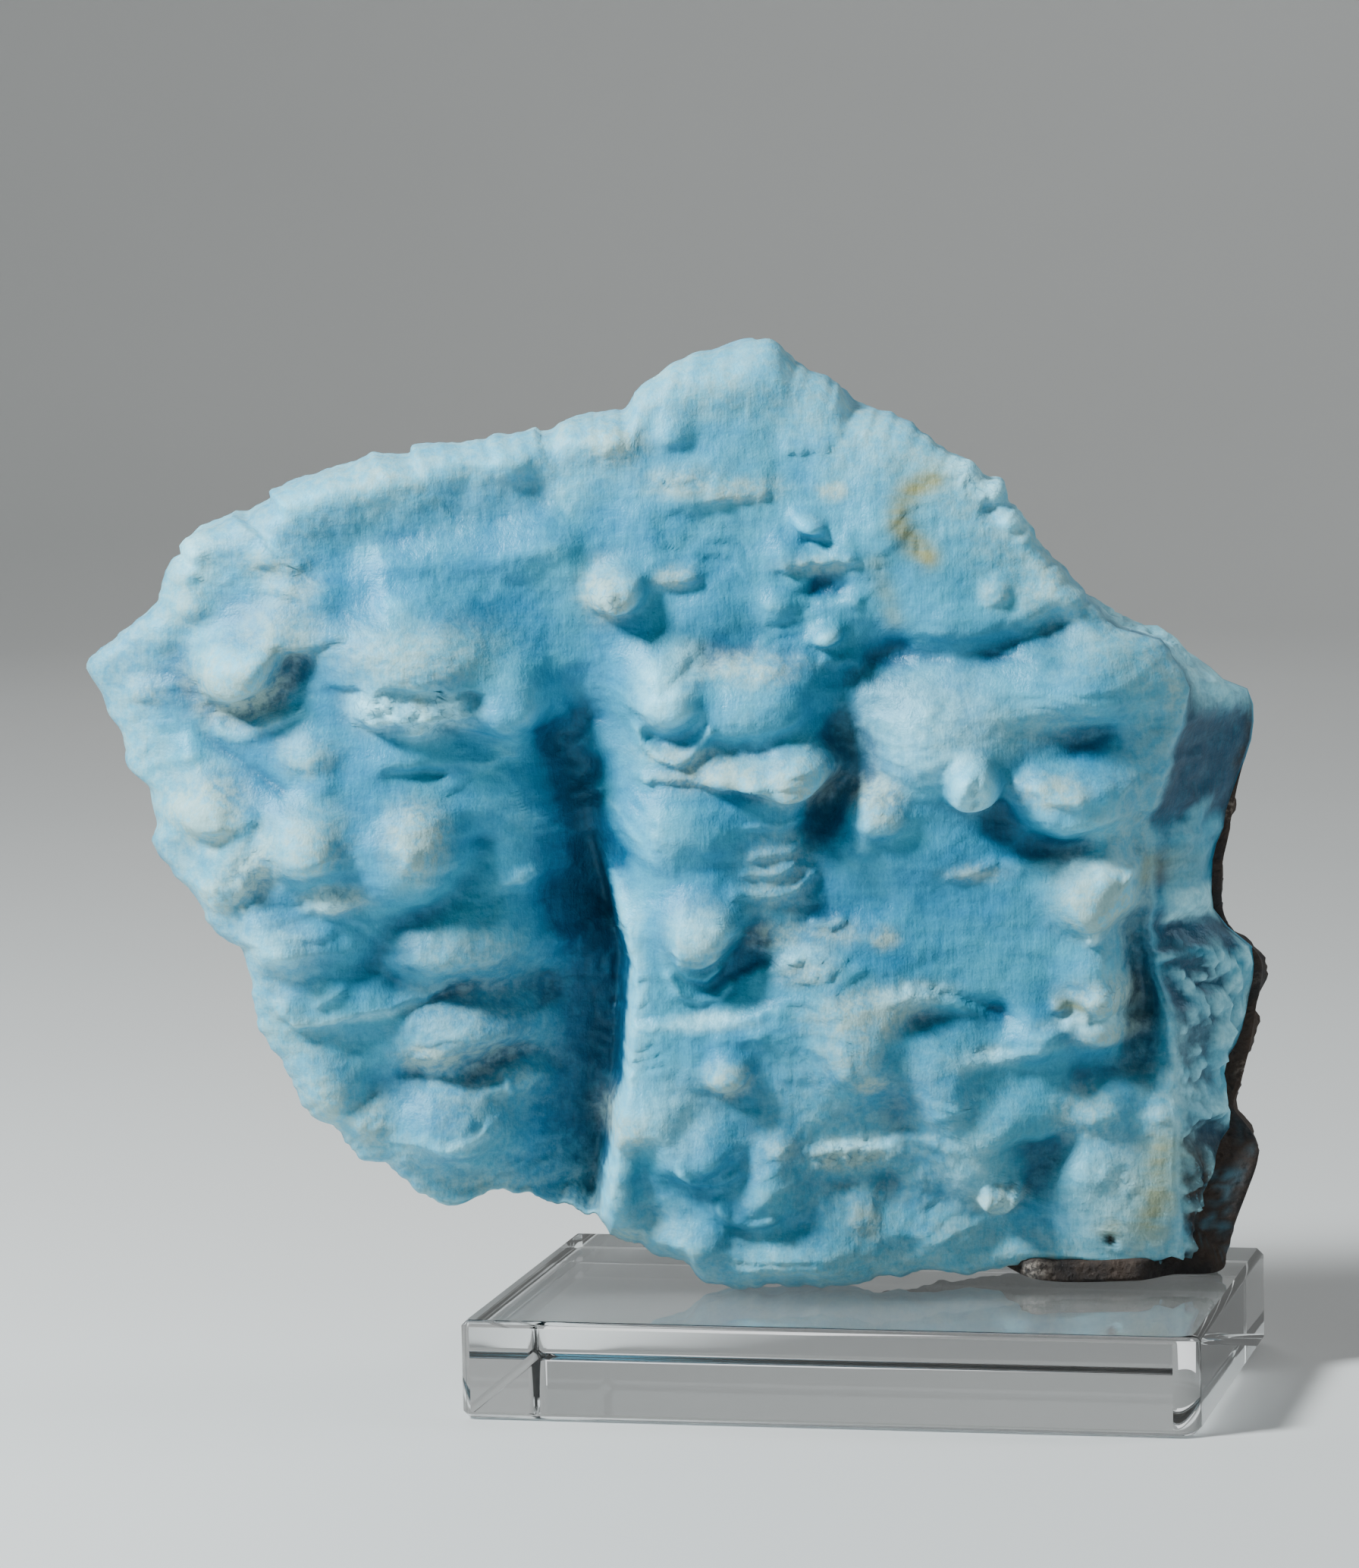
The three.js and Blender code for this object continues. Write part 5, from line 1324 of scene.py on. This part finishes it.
class AddBlock(bpy.types.Operator):
    """Add the clear display block, with polished chamfers and one rounded corner."""

    bl_idname = "specimen.add_block"
    bl_label = "Display Block"

    def execute(self, context):
        chamfer = sizes().chamfer
        levels = ((BLOCK_LOW[2], chamfer), (BLOCK_LOW[2] + chamfer, 0.0),
                  (BLOCK_HIGH[2] - chamfer, 0.0), (BLOCK_HIGH[2], chamfer))
        bm = bmesh.new()
        rings = [[bm.verts.new((x, y, height)) for x, y in self.outline(inset)] for height, inset in levels]
        join_rings(bm, rings, inward=False)
        bm.faces.new(rings[0][::-1])
        bm.faces.new(rings[-1])
        side_area = (BLOCK_HIGH[2] - BLOCK_LOW[2]) * (BLOCK_HIGH[1] - BLOCK_LOW[1]) / 2
        for face in bm.faces:
            face.smooth = len(face.verts) == 4 and face.calc_area() < FLAT_FACE_SHARE * side_area
        for edge in bm.edges:
            edge.smooth = edge.calc_face_angle(math.pi) < math.radians(SHARP_EDGE_DEG)
        obj = object_from(bm, "clear_block")
        settle(obj, acrylic_material(colours()), "display_block")
        return {"FINISHED"}

    @staticmethod
    def outline(inset):
        """Points of the block's outline from above, drawn in by inset."""
        sharp = sizes().sharp_corner
        rounded = sizes().round_corner
        corners = ((1, -1, rounded, -90), (1, 1, sharp, 0), (-1, 1, sharp, 90), (-1, -1, sharp, 180))
        half = [(BLOCK_HIGH[k] - BLOCK_LOW[k]) / 2 for k in (0, 1)]
        middle = [(BLOCK_HIGH[k] + BLOCK_LOW[k]) / 2 for k in (0, 1)]
        points = []
        for side_x, side_y, radius, start in corners:
            for step in range(CORNER_STEPS + 1):
                angle = math.radians(start + 90 * step / CORNER_STEPS)
                x = side_x * (half[0] - radius) + (radius - inset) * math.cos(angle)
                y = side_y * (half[1] - radius) + (radius - inset) * math.sin(angle)
                points.append((middle[0] + x, middle[1] + y))
        return points


def add_area_light(name, place, target, size, power, tint):
    light = bpy.data.lights.new(name, "AREA")
    light.shape = "RECTANGLE"
    light.size, light.size_y = size
    light.energy = power
    light.color = tint
    obj = linked(name, light)
    obj.location = place
    obj.rotation_euler = (Vector(target) - Vector(place)).to_track_quat("-Z", "Y").to_euler()


class AddStudio(bpy.types.Operator):
    """Add the pale floor and backdrop, the lights and the camera."""

    bl_idname = "specimen.add_studio"
    bl_label = "Studio and Camera"

    def execute(self, context):
        self.add_floor()
        for light in LIGHTS:
            add_area_light(*light)
        world = bpy.data.worlds.new("Studio")
        world.use_nodes = True
        room = world.node_tree.nodes["Background"].inputs
        room["Color"].default_value = ROOM_TINT
        room["Strength"].default_value = ROOM_STRENGTH
        context.scene.world = world
        self.add_camera(context)
        return {"FINISHED"}

    @staticmethod
    def add_floor():
        """Add a round floor that curves up into a wall all round."""
        profile = [(FLOOR_RADIUS, FLOOR_LEVEL)]
        for angle in np.linspace(0.02, math.pi / 2, FLOOR_CURVE_STEPS):
            far = FLOOR_RADIUS + FLOOR_CURVE * math.sin(angle)
            profile.append((far, FLOOR_LEVEL + FLOOR_CURVE - FLOOR_CURVE * math.cos(angle)))
        profile.append((FLOOR_RADIUS + FLOOR_CURVE, WALL_TOP))
        turns = [2 * math.pi * k / FLOOR_SIDES for k in range(FLOOR_SIDES)]
        bm = bmesh.new()
        rings = [[bm.verts.new((far * math.cos(turn), far * math.sin(turn), height)) for turn in turns]
                 for far, height in profile]
        bm.faces.new(rings[0])
        join_rings(bm, rings, inward=True)
        for face in bm.faces:
            face.smooth = True
        floor = object_from(bm, "studio_floor")
        floor.data.materials.append(floor_material(colours()))

    @staticmethod
    def add_camera(context):
        angles = (CAMERA_TURN_DEG, CAMERA_HEIGHT_DEG, CAMERA_ROLL_DEG)
        turn, height, roll = (math.radians(angle) for angle in angles)
        level = math.cos(height)
        back = Vector((math.sin(turn) * level, -math.cos(turn) * level, math.sin(height)))
        right = (-back).cross(Vector((0, 0, 1))).normalized()
        up = right.cross(-back)
        rolled_right = math.cos(roll) * right + math.sin(roll) * up
        rolled_up = math.cos(roll) * up - math.sin(roll) * right
        place = CAMERA_SIDE * rolled_right + CAMERA_RISE * rolled_up + CAMERA_DISTANCE * back
        data = bpy.data.cameras.new("photo_camera")
        data.sensor_fit = "VERTICAL"
        data.sensor_height = SENSOR_MM
        data.lens = CAMERA_LENS_MM
        data.clip_end = 20.0
        camera = linked("photo_camera", data)
        camera.matrix_world = Matrix((
            (rolled_right.x, rolled_up.x, back.x, place.x),
            (rolled_right.y, rolled_up.y, back.y, place.y),
            (rolled_right.z, rolled_up.z, back.z, place.z),
            (0, 0, 0, 1),
        ))
        context.scene.camera = camera


class SpecimenPanel(bpy.types.Panel):
    """Lists the specimen's pieces, sizes and colours."""

    bl_idname = "VIEW3D_PT_specimen"
    bl_label = "Aragonite Specimen"
    bl_space_type = "VIEW_3D"
    bl_region_type = "UI"
    bl_category = "Specimen"

    def draw(self, context):
        column = self.layout.column()
        for operator in OPERATORS:
            column.operator(operator.bl_idname)
        for group in (context.scene.specimen_sizes, context.scene.specimen_colours):
            for name in group.bl_rna.properties.keys():
                if name not in ("rna_type", "name"):
                    column.prop(group, name)


OPERATORS = (AddStudio, AddBlock, AddCrust, AddRock)
CLASSES = (SpecimenSizes, SpecimenColours, *OPERATORS, SpecimenPanel)


def register():
    for cls in CLASSES:
        bpy.utils.register_class(cls)
    bpy.types.Scene.specimen_sizes = bpy.props.PointerProperty(type=SpecimenSizes)
    bpy.types.Scene.specimen_colours = bpy.props.PointerProperty(type=SpecimenColours)


def unregister():
    del bpy.types.Scene.specimen_colours
    del bpy.types.Scene.specimen_sizes
    for cls in reversed(CLASSES):
        bpy.utils.unregister_class(cls)


def main():
    register()
    bpy.ops.specimen.add_studio()
    bpy.ops.specimen.add_block()
    bpy.ops.specimen.add_crust()
    bpy.ops.specimen.add_rock()


if __name__ == "__main__":
    main()
